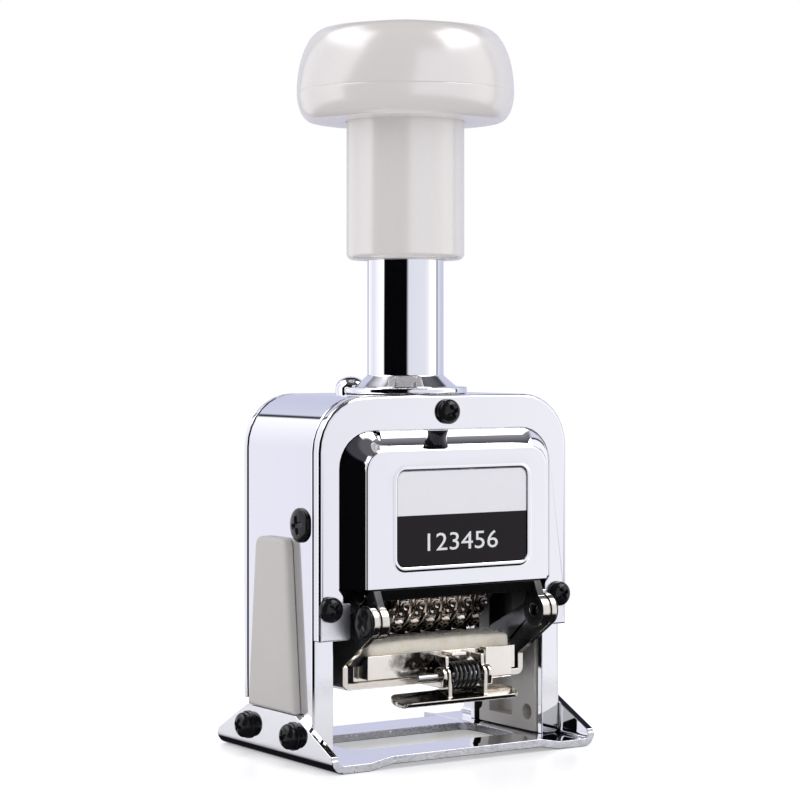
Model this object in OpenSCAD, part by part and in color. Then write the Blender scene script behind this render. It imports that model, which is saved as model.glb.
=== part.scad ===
// Hand-operated automatic numbering machine, six figures.
// Millimetres, +Z up, front faces -Y, origin under the middle of the base.

/* [Base] */
// Depth of the base, front to back
base_d = 50; // [46:0.5:56]
// Thickness of the base sheet
base_t = 1.8; // [1.4:0.1:2.2]
// Height that the middle of the base is raised off the paper
base_lift = 1; // [0.5:0.1:1.5]
// Half width of the raised middle
lift_half = 20; // [17:0.5:22]
// Half width of the printing window
window_half = 22; // [17:0.5:24]
// Corner radius of the printing window
window_r = 4; // [2:0.5:5]
// Depth of the rail behind the printing window
rail_d = 11.4; // [9:0.2:14]
// Height of the side flanges above the paper
flange_h = 10.8; // [10:0.1:13]
// Length of a flange along its top edge
flange_top = 22.6; // [20:0.2:24.4]
// Outer radius of the bend between base and flange
bend_r = 3; // [2.4:0.1:3.6]

/* [Casing] */
// Width of the casing across its legs
casing_w = 67; // [64:0.5:72]
// Depth of the casing
casing_d = 28.6; // [27:0.2:31]
// Height of the casing's top above the paper
casing_top = 80.4; // [78:0.2:84]
// Radius of the casing's two top corners
casing_r = 12; // [9:0.5:14]
// Thickness of the casing wall
wall = 1.7; // [1.3:0.1:2]
// Width of the lips round the front and back openings
lip_w = 5.2; // [4.8:0.1:6]

/* [Front plate and cover] */
// Thickness of the front and back plates
plate_t = 2.6; // [2.2:0.1:3.2]
// Height of the plates' lower edges above the paper
plate_z = 27.3; // [25:0.1:29]
// Radius of the window's top corners
sight_r = 8; // [6:0.5:9]
// Height of the shoulder above the lower tabs
tab_z = 35.5; // [34:0.1:36.5]
// Rise of the raised cover in front of the front plate
cover_rise = 4.8; // [4:0.1:6]
// Distance that the cover's wall draws in from window to face
cover_draw = 4.3; // [3.5:0.1:5]
// Thickness of the cover's sheet
cover_t = 1.2; // [0.9:0.1:1.4]
// Height of the cover's lower edge above the paper
cover_z = 38.6; // [38.4:0.1:40]
// Width of the label
label_w = 35; // [28:0.5:37]
// Height of the label
label_h = 21; // [16:0.5:23]
// Thickness of the label plate
label_t = 0.45; // [0.3:0.05:0.6]
// Diameter of the oil hole in the top of the cover
oil_d = 2.6; // [2:0.1:3]

/* [Knob and stem] */
// Greatest radius of the knob
knob_r = 24.9; // [22:0.1:27]
// Height of the knob from its flat underside to its crown
knob_h = 23.3; // [21:0.1:26]
// Height of the knob's widest belt above its underside
belt_h = 6.7; // [5:0.1:8]
// Radius of the flat underside of the knob
knob_base_r = 21.4; // [19:0.1:22]
// Radius of the sleeve
sleeve_r = 13.5; // [12:0.1:15]
// Length of sleeve that shows below the knob
sleeve_l = 31.6; // [28:0.2:36]
// Radius of the stem that the sleeve slides on
stem_r = 8.75; // [8:0.05:9.5]
// Length of stem that stays inside the sleeve at rest
stem_in = 15; // [12:0.5:18]
// Radius of the flange under the stem
collar_r = 14.1; // [13.6:0.1:15.5]
// Thickness of the flange under the stem
collar_t = 1.6; // [1.2:0.1:1.8]
// Height of the cone between flange and stem
cone_h = 2.6; // [2.2:0.1:3.4]
// Radius of the foot of the cone
cone_r = 11.8; // [11:0.1:12.8]
// Radius of the plunger rod
rod_r = 3.5; // [3:0.1:4]
// Wire diameter of the return spring
spring_wire = 1.2; // [0.9:0.1:1.3]
// Travel of the plunger
travel = 26.2; // [24:0.1:27]

/* [Number wheels] */
// Number of number wheels
wheel_n = 6; // [5:1:7]
// Spacing of the number wheels along their axle
pitch = 4.2; // [4:0.05:4.4]
// Radius of a number wheel over its type
wheel_r = 9.4; // [8.8:0.1:9.8]
// Radius of a number wheel's drum under the type
drum_r = 8.1; // [7.6:0.1:8.2]
// Width of a number wheel's drum
drum_w = 3.2; // [3:0.05:3.3]
// Radius over the ratchet teeth
ratchet_r = 7; // [6.6:0.1:7.2]
// Depth of the ratchet teeth
tooth_h = 1.3; // [1:0.1:1.5]
// Number of type faces and ratchet teeth on a wheel
type_n = 10; // [10:1:10]
// Radius of the wheel axle
axle_r = 2; // [1.6:0.1:2.4]
// Distance of the wheel axle in front of the stem axis
wheel_ahead = 7.5; // [6.5:0.1:8]
// Gap left for the paper under the wheels at full travel
paper_gap = 0.2; // [0.1:0.05:0.4]

/* [Ink pad] */
// Gap between the type and the felt at rest
felt_gap = 0.35; // [0.3:0.05:0.5]
// Depth of the felt, front to back
felt_d = 12.6; // [11.6:0.1:13]
// Height of the felt
felt_h = 7.3; // [6.8:0.1:8.5]
// Thickness of the tray's sheet
tray_t = 0.8; // [0.6:0.1:1]
// Height of the tray's walls
tray_h = 5.2; // [4.6:0.1:6]
// Distance of the pad pivots in front of the wheel axle
pivot_ahead = 13.8; // [13.4:0.1:14.2]
// Height of the pad pivots above the felt
pivot_up = 5.4; // [5.2:0.1:5.8]
// Radius of the round ends of the pad arms
arm_r = 3.8; // [3.4:0.1:4]
// Thickness of the pad arms
arm_t = 1.5; // [1.4:0.1:1.9]
// Thickness of the carrier's floor
floor_t = 1.6; // [1.4:0.1:1.8]

/* [Pad clip] */
// Outer radius of the clip's coil spring
coil_r = 3.2; // [3:0.1:3.3]
// Wire diameter of the clip's coil spring
coil_wire = 0.9; // [0.7:0.05:1]
// Length between the two clip ears
clip_span = 11.2; // [10:0.1:12]
// Width of the thumb lever
lever_w = 33; // [28:0.5:36]

/* [Side inserts] */
// Height of the side inserts' top edge above the paper
insert_top = 49; // [44:0.2:50]
// Width of an insert along its lower edge
insert_w = 19.6; // [17:0.1:20]
// Width of an insert along its upper edge
insert_top_w = 13; // [10:0.1:14]
// Distance that an insert stands proud of the casing
insert_proud = 2.3; // [1.5:0.1:3]

/* [Fasteners] */
// Head diameter of the pan-head screws
head_d = 5.6; // [5:0.1:5.8]
// Head height of the pan-head screws
head_h = 2.4; // [1.8:0.1:2.6]
// Head diameter of the two wide screws above the side inserts
wide_head_d = 7.6; // [6:0.1:8]
// Shank radius of the pan-head screws
shank_r = 1.5; // [1.2:0.05:1.5]

/* [Hidden] */
$fn = 64;

// Clearances: running for shafts in bores, fit for parts that pass each other
running = 0.05;
fit = 0.3;
seat = 0.02;

// Casing and base
casing_half = casing_w / 2;
casing_half_d = casing_d / 2;
top_wall_z = casing_top - wall;
base_half_d = base_d / 2;
lift_ramp = 5.5;
flange_in = casing_half + seat;
flange_out = flange_in + base_t;
flange_foot = base_half_d - 0.5;
flange_shoulder = bend_r + 0.8;
flange_corner = 1;
flange_mid = 0.8;
leg_bolt_gap = flange_top / 2 - 1.5;
leg_bolts = [flange_mid - leg_bolt_gap, flange_mid + leg_bolt_gap];
leg_bolt_z = (flange_h + base_t) / 2;
washer_t = 0.6;

// Front plate, cover and label
sight_half = casing_half - lip_w;
sight_top = casing_top - lip_w - 2.6;
opening_top = casing_top - lip_w - 1;
front_y = -casing_half_d - plate_t;
back_y = casing_half_d;
back_sheet = 1.6;
back_panel = 2.2;
top_screw_z = casing_top - lip_w / 2 - 1.1;
low_screw_z = tab_z - 1.2;
back_screw_x = 18;
low_screw_x = casing_half - lip_w / 2;
cover_flange_t = 0.9;
cover_flange_half = casing_half - 2.9;
cover_flange_top = top_screw_z - shank_r - fit;
face_y = front_y - cover_rise;
cover_half = sight_half - 0.1;
cover_top = sight_top - 0.1;
lip_bend = 0.5;
label_x = 1;
label_z = cover_z + 4.4 + label_h / 2;
label_r = 2;
oil_x = -cover_half + 9.2;
oil_y = front_y - 1.9;
bush_h = 3.6;

// Stem and knob
stem_z = casing_top + collar_t + cone_h;
sleeve_z = stem_z + travel + 0.2;
knob_z = sleeve_z + sleeve_l;
stem_top = sleeve_z + stem_in;
roof_z = stem_top + travel + 0.8;
rod_top = roof_z + 4.8;
socket_h = 9;
spigot_r = 7;
spigot_l = 4.2;
spring_bore_r = stem_r - 1.95;
spring_r = spring_bore_r - 1;
spring_seat = stem_z + 1.3;
nut_h = 3.6;
nut_r = 8.6;

// Lock button, at the back left of the stem's cone
button_r = 3.5;
button_rise = 3.9;
button_dome = 2.6;
button_out = 12.7;
button_y = casing_half_d - wall - button_r - 0.6;
button_x = -sqrt(pow(button_out, 2) - pow(button_y, 2));

// Printing head
wheel_y = -wheel_ahead;
wheel_z = paper_gap + travel + wheel_r;
stack_half = wheel_n * pitch / 2;
cheek_t = 1.6;
cheek_in = stack_half + 0.4;
cheek_out = cheek_in + cheek_t;
cheek_r = 5.5;
rocker_t = 1.2;
rocker_in = cheek_out + fit;
rocker_out = rocker_in + rocker_t;
clip_t = 0.6;
axle_half = rocker_out + clip_t + 0.6;
bridge_z = wheel_z + wheel_r + 4.8;
bridge_h = 4;
head_front = 8;
head_rear = 6;
boss_r = 7;
boss_h = 6;
rod_seat = 2;
channel_y = 1.3;
channel_d = 9;
shoe_d = channel_d - 2 * fit;
head_back = channel_y + shoe_d / 2;
shoe_h = 10;
foot_w = 4;
foot_d = 5.6;
foot_t = 1.6;
foot_screw_r = 1;
foot_screw = [cheek_in - foot_w / 2, wheel_y - 5];
tie_r = 1.2;
tie_z = bridge_z - 3;
tie_y = [wheel_y - 6.2, channel_y + 2];
comb_t = 2;
comb_at = 0.2;
comb_d = 3.6;
pawl_reach = 12;
pawl_pin_r = 1.1;
pawl_eye_r = 2;
finger_t = 0.4;
finger_gap = 0.25;
rest_angle = -30;

// Printing window in the base
window_front = wheel_y - wheel_r + 2.1;
window_back = wheel_y + wheel_r + 3.1;
window_d = window_back - window_front;

// Pad: felt, tray, carrier and hanger
lug_t = 2;
lug_out = cover_half - cover_draw - cover_t - 0.1;
lug_in = lug_out - lug_t;
arm_in = lug_out + 0.5;
arm_half = arm_in + arm_t;
tab_half = arm_half + 0.8;
tray_half = lug_in - 0.6;
felt_top = wheel_z - wheel_r - felt_gap;
felt_y = wheel_y - 0.4;
tray_z = felt_top - felt_h - tray_t;
tray_front = felt_y - felt_d / 2 - tray_t - 0.1;
tray_back = felt_y + felt_d / 2 + tray_t + 0.1;
pivot_y = wheel_y - pivot_ahead;
pivot_z = felt_top + pivot_up;
seat_h = 0.8;
floor_z = tray_z - seat_h - floor_t;
floor_front = tray_front + 3;
knee_z = floor_z + 4.8;
rib_t = 1;
chin_t = 1.1;

// Clip
clip_mid = 3;
clip_y = tray_front - coil_r - 0.5;
clip_z = tray_z;
ear_t = 1;
ear_r = 2.1;
prong_w = 1.4;
clip_pin_r = 0.8;
ear_x = clip_span / 2;
lever_ear_x = ear_x - 0.3;
lever_t = 1;
lever_reach = 3.4;
lever_back = 2.2;
lever_drop = 2.45;
lever_end_r = 2.6;
lever_mid = clip_mid - 2.6;
pin_tail = 5.2;

// Side inserts
insert_z = flange_h + 0.1;
insert_mid = 0.6;
insert_in = arm_half + 3.2;
channel_x = casing_half - wall - 0.8;
shoe_x = channel_x - fit;
shoe_in = insert_in - 0.8;
rib_front = -casing_half_d + wall + 0.4;
rib_back = casing_half_d - wall - 2.6;
rib_top = bridge_z + shoe_h;
side_screw_y = -9.2;
side_screw_z = insert_top + 3.2;

function arc(c, r, from, to, n = 8) =
    [for (i = [0:n]) let (a = from + (to - from) * i / n) [c[0] + r * cos(a), c[1] + r * sin(a)]];

// Outline with a flat foot and two round top corners
function arch(half, z0, z1, r, n = 8) = concat(
    [[half, z0]], arc([half - r, z1 - r], r, 0, 90, n),
    arc([r - half, z1 - r], r, 90, 180, n), [[-half, z0]]);

function round_rect(w, h, r, n = 5) = concat(
    arc([w / 2 - r, h / 2 - r], r, 0, 90, n), arc([r - w / 2, h / 2 - r], r, 90, 180, n),
    arc([r - w / 2, r - h / 2], r, 180, 270, n), arc([w / 2 - r, r - h / 2], r, 270, 360, n));

// Outlines in X and Z, made solid from y0 to y1
module along_y(y0, y1) {
    translate([0, y1, 0]) rotate([90, 0, 0]) linear_extrude(y1 - y0) children();
}

// Outlines in Y and Z, made solid from x0 to x1
module along_x(x0, x1) {
    translate([x0, 0, 0]) rotate([90, 0, 90]) linear_extrude(x1 - x0) children();
}

module rod_x(x0, x1, r, y, z) {
    translate([x0, y, z]) rotate([0, 90, 0]) cylinder(h = x1 - x0, r = r);
}

module rod_y(y0, y1, r, x, z) {
    translate([x, y0, z]) rotate([-90, 0, 0]) cylinder(h = y1 - y0, r = r);
}

module both_sides() {
    children();
    mirror([1, 0, 0]) children();
}

// Pan-head screw standing on z = 0 with its shank below
module pan_screw(length, r = head_d / 2, h = head_h) {
    crown = [for (a = [0:15:90]) [r * cos(a), 0.35 * h + 0.65 * h * sin(a)]];
    difference() {
        rotate_extrude($fn = 40) polygon(concat([[0, 0], [r, 0]], crown));
        for (a = [0, 90])
            rotate([0, 0, a]) translate([-0.62 * r, -0.15 * r, 0.5 * h]) cube([1.24 * r, 0.3 * r, h]);
    }
    translate([0, 0, -length]) cylinder(h = length, r = shank_r - running);
}

// Coil of round wire along +X, from x = 0
module coil(turns, length, r, wire, steps = 16, sides = 6) {
    n = turns * steps;
    points = [for (i = [0:n], j = [0:sides - 1])
        let (a = 360 * i / steps, b = 360 * j / sides, q = r + wire / 2 * cos(b))
        [length * i / n + wire / 2 * sin(b), q * cos(a), q * sin(a)]];
    walls = [for (i = [0:n - 1], j = [0:sides - 1]) let (k = (j + 1) % sides)
        each [[i * sides + j, i * sides + k, (i + 1) * sides + j],
            [i * sides + k, (i + 1) * sides + k, (i + 1) * sides + j]]];
    first = [for (j = [sides - 1:-1:0]) j];
    last = [for (j = [0:sides - 1]) n * sides + j];
    polyhedron(points, concat([first], walls, [last]), convexity = 8);
}

// ---- Base ----

module base_section() {
    out = flange_out;
    polygon(concat(
        arc([bend_r - out, bend_r], bend_r, 180, 270, 6),
        [[-lift_half - lift_ramp, 0], [-lift_half, base_lift], [lift_half, base_lift],
         [lift_half + lift_ramp, 0]],
        arc([out - bend_r, bend_r], bend_r, 270, 360, 6),
        arc([out - bend_r, bend_r], bend_r - base_t, 360, 270, 4),
        [[lift_half + lift_ramp, base_t], [lift_half, base_t + base_lift],
         [-lift_half, base_t + base_lift], [-lift_half - lift_ramp, base_t]],
        arc([bend_r - out, bend_r], bend_r - base_t, 270, 180, 4)));
}

module flange_outline() {
    ahead = flange_mid + flange_corner - flange_top / 2;
    behind = flange_mid + flange_top / 2 - flange_corner;
    polygon(concat(
        [[-flange_foot, bend_r], [-flange_foot, flange_shoulder]],
        arc([ahead, flange_h - flange_corner], flange_corner, 120, 90, 3),
        arc([behind, flange_h - flange_corner], flange_corner, 90, 60, 3),
        [[flange_foot, flange_shoulder], [flange_foot, bend_r]]));
}

module base_plate() {
    rail_back = window_back + rail_d;
    color("gainsboro") difference() {
        union() {
            along_y(-base_half_d, base_half_d) base_section();
            both_sides() along_x(flange_in, flange_out) flange_outline();
        }
        translate([0, (window_front + window_back) / 2, -1]) linear_extrude(base_t + base_lift + 2)
            polygon(round_rect(2 * window_half, window_d, window_r));
        translate([0, rail_back + base_half_d / 2, -1]) linear_extrude(base_t + base_lift + 2)
            polygon(round_rect(2 * window_half, base_half_d, window_r));
        for (y = leg_bolts) rod_x(-flange_out - 1, flange_out + 1, shank_r, y, leg_bolt_z);
    }
}

module base_screws() {
    color([0.08, 0.08, 0.09]) for (s = [-1, 1], y = leg_bolts)
        translate([s * (flange_out + washer_t), y, leg_bolt_z]) rotate([0, s * 90, 0])
            pan_screw(washer_t + base_t + wall);
}

module base_washers() {
    color([0.1, 0.1, 0.11]) both_sides() for (y = leg_bolts) difference() {
        rod_x(flange_out, flange_out + washer_t, head_d / 2 + 0.3, y, leg_bolt_z);
        rod_x(flange_out - 1, flange_out + 1, shank_r + 0.05, y, leg_bolt_z);
    }
}

// ---- Casing ----

// Window in the leg that the insert's body fills, and the insert's own outline
module insert_outline(inset = 0) {
    lower = insert_w / 2 - inset;
    upper = insert_top_w / 2 - inset;
    top = insert_top - inset;
    polygon(concat(
        [[insert_mid - lower, insert_z + inset], [insert_mid + lower, insert_z + inset]],
        arc([insert_mid + upper - 2, top - 2], 2, 0, 90, 4),
        arc([insert_mid - upper + 2, top - 2], 2, 90, 180, 4)));
}

module lock_bore(r, z0, z1) {
    translate([button_x, button_y, z0]) cylinder(h = z1 - z0, r = r);
}

module casing() {
    foot_cut = bend_r - base_t;
    opening_half = casing_half - lip_w;
    color("gainsboro") difference() {
        along_y(-casing_half_d, casing_half_d) polygon(concat(
            [[casing_half - foot_cut, base_t], [casing_half, base_t + foot_cut]],
            arc([casing_half - casing_r, casing_top - casing_r], casing_r, 0, 90),
            arc([casing_r - casing_half, casing_top - casing_r], casing_r, 90, 180),
            [[-casing_half, base_t + foot_cut], [foot_cut - casing_half, base_t]]));
        along_y(wall - casing_half_d, casing_half_d - wall)
            polygon(arch(casing_half - wall, base_t - 1, top_wall_z, casing_r - wall));
        along_y(-casing_half_d - 1, casing_half_d + 1)
            polygon(arch(opening_half, base_t - 1, opening_top, casing_r - lip_w));
        both_sides() along_x(casing_half - wall - 1, casing_half + 1) insert_outline(1);
        translate([0, 0, top_wall_z - 1]) cylinder(h = wall + 2, r = spigot_r + running);
        lock_bore(button_r + running, top_wall_z - 1, casing_top + 1);
        for (y = leg_bolts) rod_x(-casing_half - 1, casing_half + 1, shank_r, y, leg_bolt_z);
        rod_x(-casing_half - 1, casing_half + 1, shank_r, side_screw_y, side_screw_z);
        plate_holes(-casing_half_d - 1, 0);
        back_holes(0, casing_half_d + 1);
    }
}

module plate_holes(y0, y1) {
    rod_y(y0, y1, shank_r, 0, top_screw_z);
    for (s = [-1, 1]) rod_y(y0, y1, shank_r, s * low_screw_x, low_screw_z);
}

module back_holes(y0, y1) {
    for (x = [-back_screw_x, 0, back_screw_x]) rod_y(y0, y1, shank_r, x, top_screw_z);
}

module side_screws() {
    color([0.08, 0.08, 0.09]) for (s = [-1, 1])
        translate([s * casing_half, side_screw_y, side_screw_z]) rotate([0, s * 90, 0])
            pan_screw(wall + 2, wide_head_d / 2, 0.55 * head_h);
}

// ---- Front plate, cover, label, back plate ----

module front_plate_outline() {
    neck_half = sight_half - 1.1;
    polygon(concat(
        [[tab_half, plate_z], [casing_half, plate_z]],
        arc([casing_half - casing_r, casing_top - casing_r], casing_r, 0, 90),
        arc([casing_r - casing_half, casing_top - casing_r], casing_r, 90, 180),
        [[-casing_half, plate_z], [-tab_half, plate_z], [-tab_half, tab_z], [-neck_half, tab_z],
         [-neck_half, cover_z - 1.6], [-sight_half, cover_z - 0.2]],
        arc([sight_r - sight_half, sight_top - sight_r], sight_r, 180, 90),
        arc([sight_half - sight_r, sight_top - sight_r], sight_r, 90, 0),
        [[sight_half, cover_z - 0.2], [neck_half, cover_z - 1.6], [neck_half, tab_z], [tab_half, tab_z]]));
}

module front_plate() {
    color("gainsboro") difference() {
        along_y(front_y, -casing_half_d) front_plate_outline();
        along_y(-casing_half_d - cover_flange_t - seat, -casing_half_d + 1)
            polygon(arch(cover_flange_half + 0.1, cover_z - 0.1, cover_flange_top + 0.1, sight_r + 1));
        plate_holes(front_y - 1, 0);
    }
}

module front_plate_screws() {
    color([0.08, 0.08, 0.09]) translate([0, front_y, 0]) rotate([90, 0, 0]) {
        translate([0, top_screw_z, 0]) pan_screw(plate_t + wall);
        for (s = [-1, 1]) translate([s * low_screw_x, low_screw_z, 0]) pan_screw(plate_t + wall);
    }
}

// Wall of the cover as pairs of inset and rise, from the window up to the face
function cover_wall(steps = 6) = let (sweep = cover_draw - lip_bend, climb = cover_rise - lip_bend) concat(
    [[0, 0]],
    [for (i = [0:steps]) let (a = 90 * i / steps) [sweep * sin(a), plate_t + climb * (1 - cos(a))]],
    [for (i = [1:steps - 2]) let (a = 90 * i / (steps - 2))
        [sweep + lip_bend * (1 - cos(a)), plate_t + climb + lip_bend * sin(a)]]);

// Loft of arches through the cover's wall, thinner by t all round
module cover_form(t, foot) {
    rows = cover_wall();
    corner = 6;
    rings = [for (row = rows) [for (p = arch(cover_half - row[0] - t, foot,
        cover_top - row[0] - t, max(sight_r - 0.9 * row[0] - t, 1.2), corner))
        [p[0], row[1] == 0 && t > 0 ? 0 : -casing_half_d - row[1] + t, p[1]]]];
    n = len(rings[0]);
    last = len(rings) - 1;
    sides = [for (k = [0:last - 1], i = [0:n - 1]) let (j = (i + 1) % n)
        each [[k * n + i, (k + 1) * n + i, k * n + j], [k * n + j, (k + 1) * n + i, (k + 1) * n + j]]];
    back = [for (i = [0:n - 1]) i];
    face = [for (i = [n - 1:-1:0]) last * n + i];
    polyhedron([for (ring = rings) each ring], concat([back], sides, [face]), convexity = 4);
}

module front_cover() {
    color("gainsboro") difference() {
        union() {
            cover_form(0, cover_z);
            along_y(-casing_half_d - cover_flange_t, -casing_half_d)
                polygon(arch(cover_flange_half, cover_z, cover_flange_top, sight_r + 1));
        }
        cover_form(cover_t, cover_z - 5);
        along_y(face_y - 1, face_y + label_t + 0.1) translate([label_x, label_z])
            polygon(round_rect(label_w, label_h, label_r));
        oil_hole(oil_d / 2);
    }
}

module oil_hole(r) {
    translate([oil_x, oil_y, cover_top - bush_h - 1.4]) rotate([-30, 0, 0]) cylinder(h = 8, r = r);
}

module oil_hole_bush() {
    color("silver") translate([oil_x, oil_y, cover_top - bush_h - 1.4]) rotate([-30, 0, 0])
        translate([0, 0, 0.6]) difference() {
            cylinder(h = bush_h, r = oil_d / 2 - running);
            translate([0, 0, bush_h - 2]) cylinder(h = 3, r = oil_d / 4);
        }
}

module label_plate() {
    color([0.9, 0.9, 0.92]) along_y(face_y + 0.1, face_y + label_t + 0.1)
        translate([label_x, label_z]) polygon(round_rect(label_w - 0.2, label_h - 0.2, label_r - 0.1));
}

module back_plate() {
    inner_half = casing_half - lip_w;
    foot = flange_h + 1;
    color("gainsboro") difference() {
        union() {
            along_y(back_y, back_y + back_sheet) difference() {
                polygon(arch(casing_half, foot, casing_top, casing_r));
                translate([-inner_half, foot - 1]) square([2 * inner_half, plate_z - foot + 1]);
            }
            along_y(back_y, back_y + back_panel)
                polygon(arch(inner_half, plate_z, top_screw_z - head_d / 2 - 0.6, casing_r - lip_w));
        }
        back_holes(0, back_y + 5);
    }
}

module back_plate_screws() {
    color([0.08, 0.08, 0.09]) for (x = [-back_screw_x, 0, back_screw_x])
        translate([x, back_y + back_sheet, top_screw_z]) rotate([-90, 0, 0])
            pan_screw(back_sheet + wall);
}

// ---- Side inserts ----

module side_insert() {
    out = casing_half + insert_proud;
    difference() {
        union() {
            along_x(casing_half, out) insert_outline();
            along_x(casing_half - wall - 0.5, casing_half + 0.5) insert_outline(1 + running);
            translate([insert_in, rib_front, base_t + 0.2])
                cube([casing_half - wall - seat - insert_in, rib_back - rib_front, rib_top - base_t]);
        }
        translate([insert_in - 1, channel_y - channel_d / 2, base_t + 3])
            cube([channel_x - insert_in + 1, channel_d, rib_top]);
        for (y = leg_bolts)
            rod_x(insert_in - 1, casing_half, shank_r + fit, y, leg_bolt_z);
        rod_x(casing_half - wall - 3, casing_half, shank_r, side_screw_y, side_screw_z);
    }
}

module side_insert_left() {
    color([0.8, 0.78, 0.76]) mirror([1, 0, 0]) side_insert();
}

module side_insert_right() {
    color([0.8, 0.78, 0.76]) side_insert();
}

// ---- Stem, knob and plunger ----

module stem() {
    guide = rod_r + running;
    shelf = casing_top + collar_t;
    color("silver") difference() {
        rotate_extrude($fn = 96) polygon([
            [guide, top_wall_z - spigot_l], [spigot_r, top_wall_z - spigot_l], [spigot_r, casing_top],
            [collar_r - 0.3, casing_top], [collar_r, casing_top + 0.3], [collar_r, shelf - 0.3],
            [collar_r - 0.3, shelf], [cone_r, shelf], [stem_r, stem_z], [stem_r, stem_top],
            [spring_bore_r, stem_top], [spring_bore_r, spring_seat], [guide, spring_seat]]);
        lock_bore(button_r + 0.4, casing_top - 1, stem_z);
    }
}

module stem_nut() {
    color("silver") difference() {
        translate([0, 0, top_wall_z - nut_h]) cylinder(h = nut_h, r = nut_r);
        translate([0, 0, top_wall_z - nut_h - 1]) cylinder(h = nut_h + 2, r = spigot_r + running);
        for (a = [0:60:300]) rotate([0, 0, a])
            translate([nut_r - 0.9, -1, top_wall_z - nut_h - 1]) cube([3, 2, nut_h + 2]);
    }
}

module lock_button() {
    top = casing_top + button_rise;
    dome = [for (a = [0:15:90]) [button_r * cos(a), top - button_dome * (1 - sin(a))]];
    color("silver") translate([button_x, button_y, 0]) rotate_extrude($fn = 48) polygon(concat(
        [[0, top_wall_z - 6], [button_r - 1, top_wall_z - 6], [button_r - 1, top_wall_z - 1.5],
         [button_r + 0.2, top_wall_z - 1.5], [button_r + 0.2, top_wall_z - fit],
         [button_r, top_wall_z - fit]], dome));
}

// Side of the knob above its belt, from t = 0 at the belt to t = 1 at the crown
function dome(t) = [knob_r * pow(1 - pow(t, 1.5), 1 / 5.8), knob_z + belt_h + t * (knob_h - belt_h)];

module knob() {
    bore = stem_r + running;
    under = [for (a = [0:15:75]) [knob_base_r + (knob_r - knob_base_r) * sin(a),
        knob_z + belt_h * (1 - cos(a))]];
    upper = [for (i = [0:16]) dome(1 - pow(1 - i / 16, 2))];
    color([0.91, 0.9, 0.88]) difference() {
        rotate_extrude($fn = 96) polygon(concat([[bore, knob_z]], under, upper,
            [[0, roof_z], [bore, roof_z]]));
        translate([0, 0, knob_z - 1]) cylinder(h = socket_h + 1, r = sleeve_r);
        translate([0, 0, roof_z - 1]) cylinder(h = rod_top - roof_z + 1.2, r = rod_r + running);
    }
}

module knob_sleeve() {
    bore = stem_r + running;
    r = sleeve_r - running;
    lip = arc([sleeve_r - 1.5, sleeve_z + 1.5], 1.5, 270, 360, 5);
    color([0.9, 0.89, 0.87]) rotate_extrude($fn = 96) polygon(concat(
        [[bore, sleeve_z]], lip, [[sleeve_r, knob_z - 0.1], [r, knob_z], [r, knob_z + socket_h - 0.1],
        [bore, knob_z + socket_h - 0.1]]));
}

module plunger_rod() {
    color("silver") translate([0, 0, bridge_z + rod_seat])
        cylinder(h = rod_top - bridge_z - rod_seat, r = rod_r);
}

module return_spring() {
    span = roof_z - spring_seat - 0.6 - spring_wire;
    color("dimgray") translate([0, 0, spring_seat + 0.3 + spring_wire / 2]) rotate([0, -90, 0])
        coil(11, span, spring_r - spring_wire / 2, spring_wire, 14, 5);
}

// ---- Printing head ----

module head_yoke() {
    color("silver") difference() {
        union() {
            translate([-shoe_x, head_back - shoe_d, bridge_z]) cube([2 * shoe_x, shoe_d, bridge_h]);
            translate([-cheek_out, wheel_y - head_front, bridge_z])
                cube([2 * cheek_out, head_front + head_rear, bridge_h]);
            both_sides() translate([shoe_in, head_back - shoe_d, bridge_z + bridge_h - shoe_h])
                cube([shoe_x - shoe_in, shoe_d, shoe_h]);
            translate([0, 0, bridge_z]) cylinder(h = bridge_h + boss_h, r = boss_r);
        }
        translate([0, 0, bridge_z + rod_seat]) cylinder(h = bridge_h + boss_h, r = rod_r + running);
        foot_screw_bores();
    }
}

module foot_screw_bores() {
    for (s = [-1, 1]) translate([s * foot_screw[0], foot_screw[1], bridge_z - foot_t - 1])
        cylinder(h = foot_t + bridge_h + 2, r = foot_screw_r);
}

module cheek_outline() {
    front = wheel_y - head_front;
    rear = wheel_y + head_front;
    hull() {
        translate([wheel_y, wheel_z]) circle(r = cheek_r, $fn = 32);
        polygon([[front, bridge_z - 0.6 * head_front], [front, bridge_z], [rear, bridge_z],
            [rear, bridge_z - head_front]]);
    }
    polygon([[wheel_y, tie_z - 3], [head_back - 3, tie_z - 3], [head_back, tie_z], [head_back, bridge_z],
        [wheel_y, bridge_z]]);
}

module head_cheek() {
    difference() {
        union() {
            along_x(cheek_in, cheek_out) cheek_outline();
            translate([cheek_in - foot_w, wheel_y - head_front, bridge_z - foot_t])
                cube([foot_w + 0.2, foot_d, foot_t]);
        }
        rod_x(0, cheek_out + 1, axle_r + running, wheel_y, wheel_z);
        for (y = tie_y) rod_x(0, cheek_out + 1, tie_r + running, y, tie_z);
        foot_screw_bores();
    }
}

module head_cheek_left() {
    color("silver") mirror([1, 0, 0]) head_cheek();
}

module head_cheek_right() {
    color("silver") head_cheek();
}

module cheek_screws() {
    top = bridge_z + bridge_h;
    color([0.2, 0.2, 0.21]) for (s = [-1, 1]) translate([s * foot_screw[0], foot_screw[1], 0]) {
        translate([0, 0, top]) cylinder(h = 0.3 * bridge_h, r = 1.7 * foot_screw_r);
        translate([0, 0, bridge_z - foot_t])
            cylinder(h = top - bridge_z + foot_t, r = foot_screw_r - running);
    }
}

module wheel_axle() {
    color("silver") difference() {
        rod_x(-axle_half, axle_half, axle_r, wheel_y, wheel_z);
        both_sides() difference() {
            rod_x(rocker_out + 0.1, rocker_out + 0.15 + clip_t, axle_r + 1, wheel_y, wheel_z);
            rod_x(rocker_out, rocker_out + 2, axle_r - 0.4, wheel_y, wheel_z);
        }
    }
}

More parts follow.
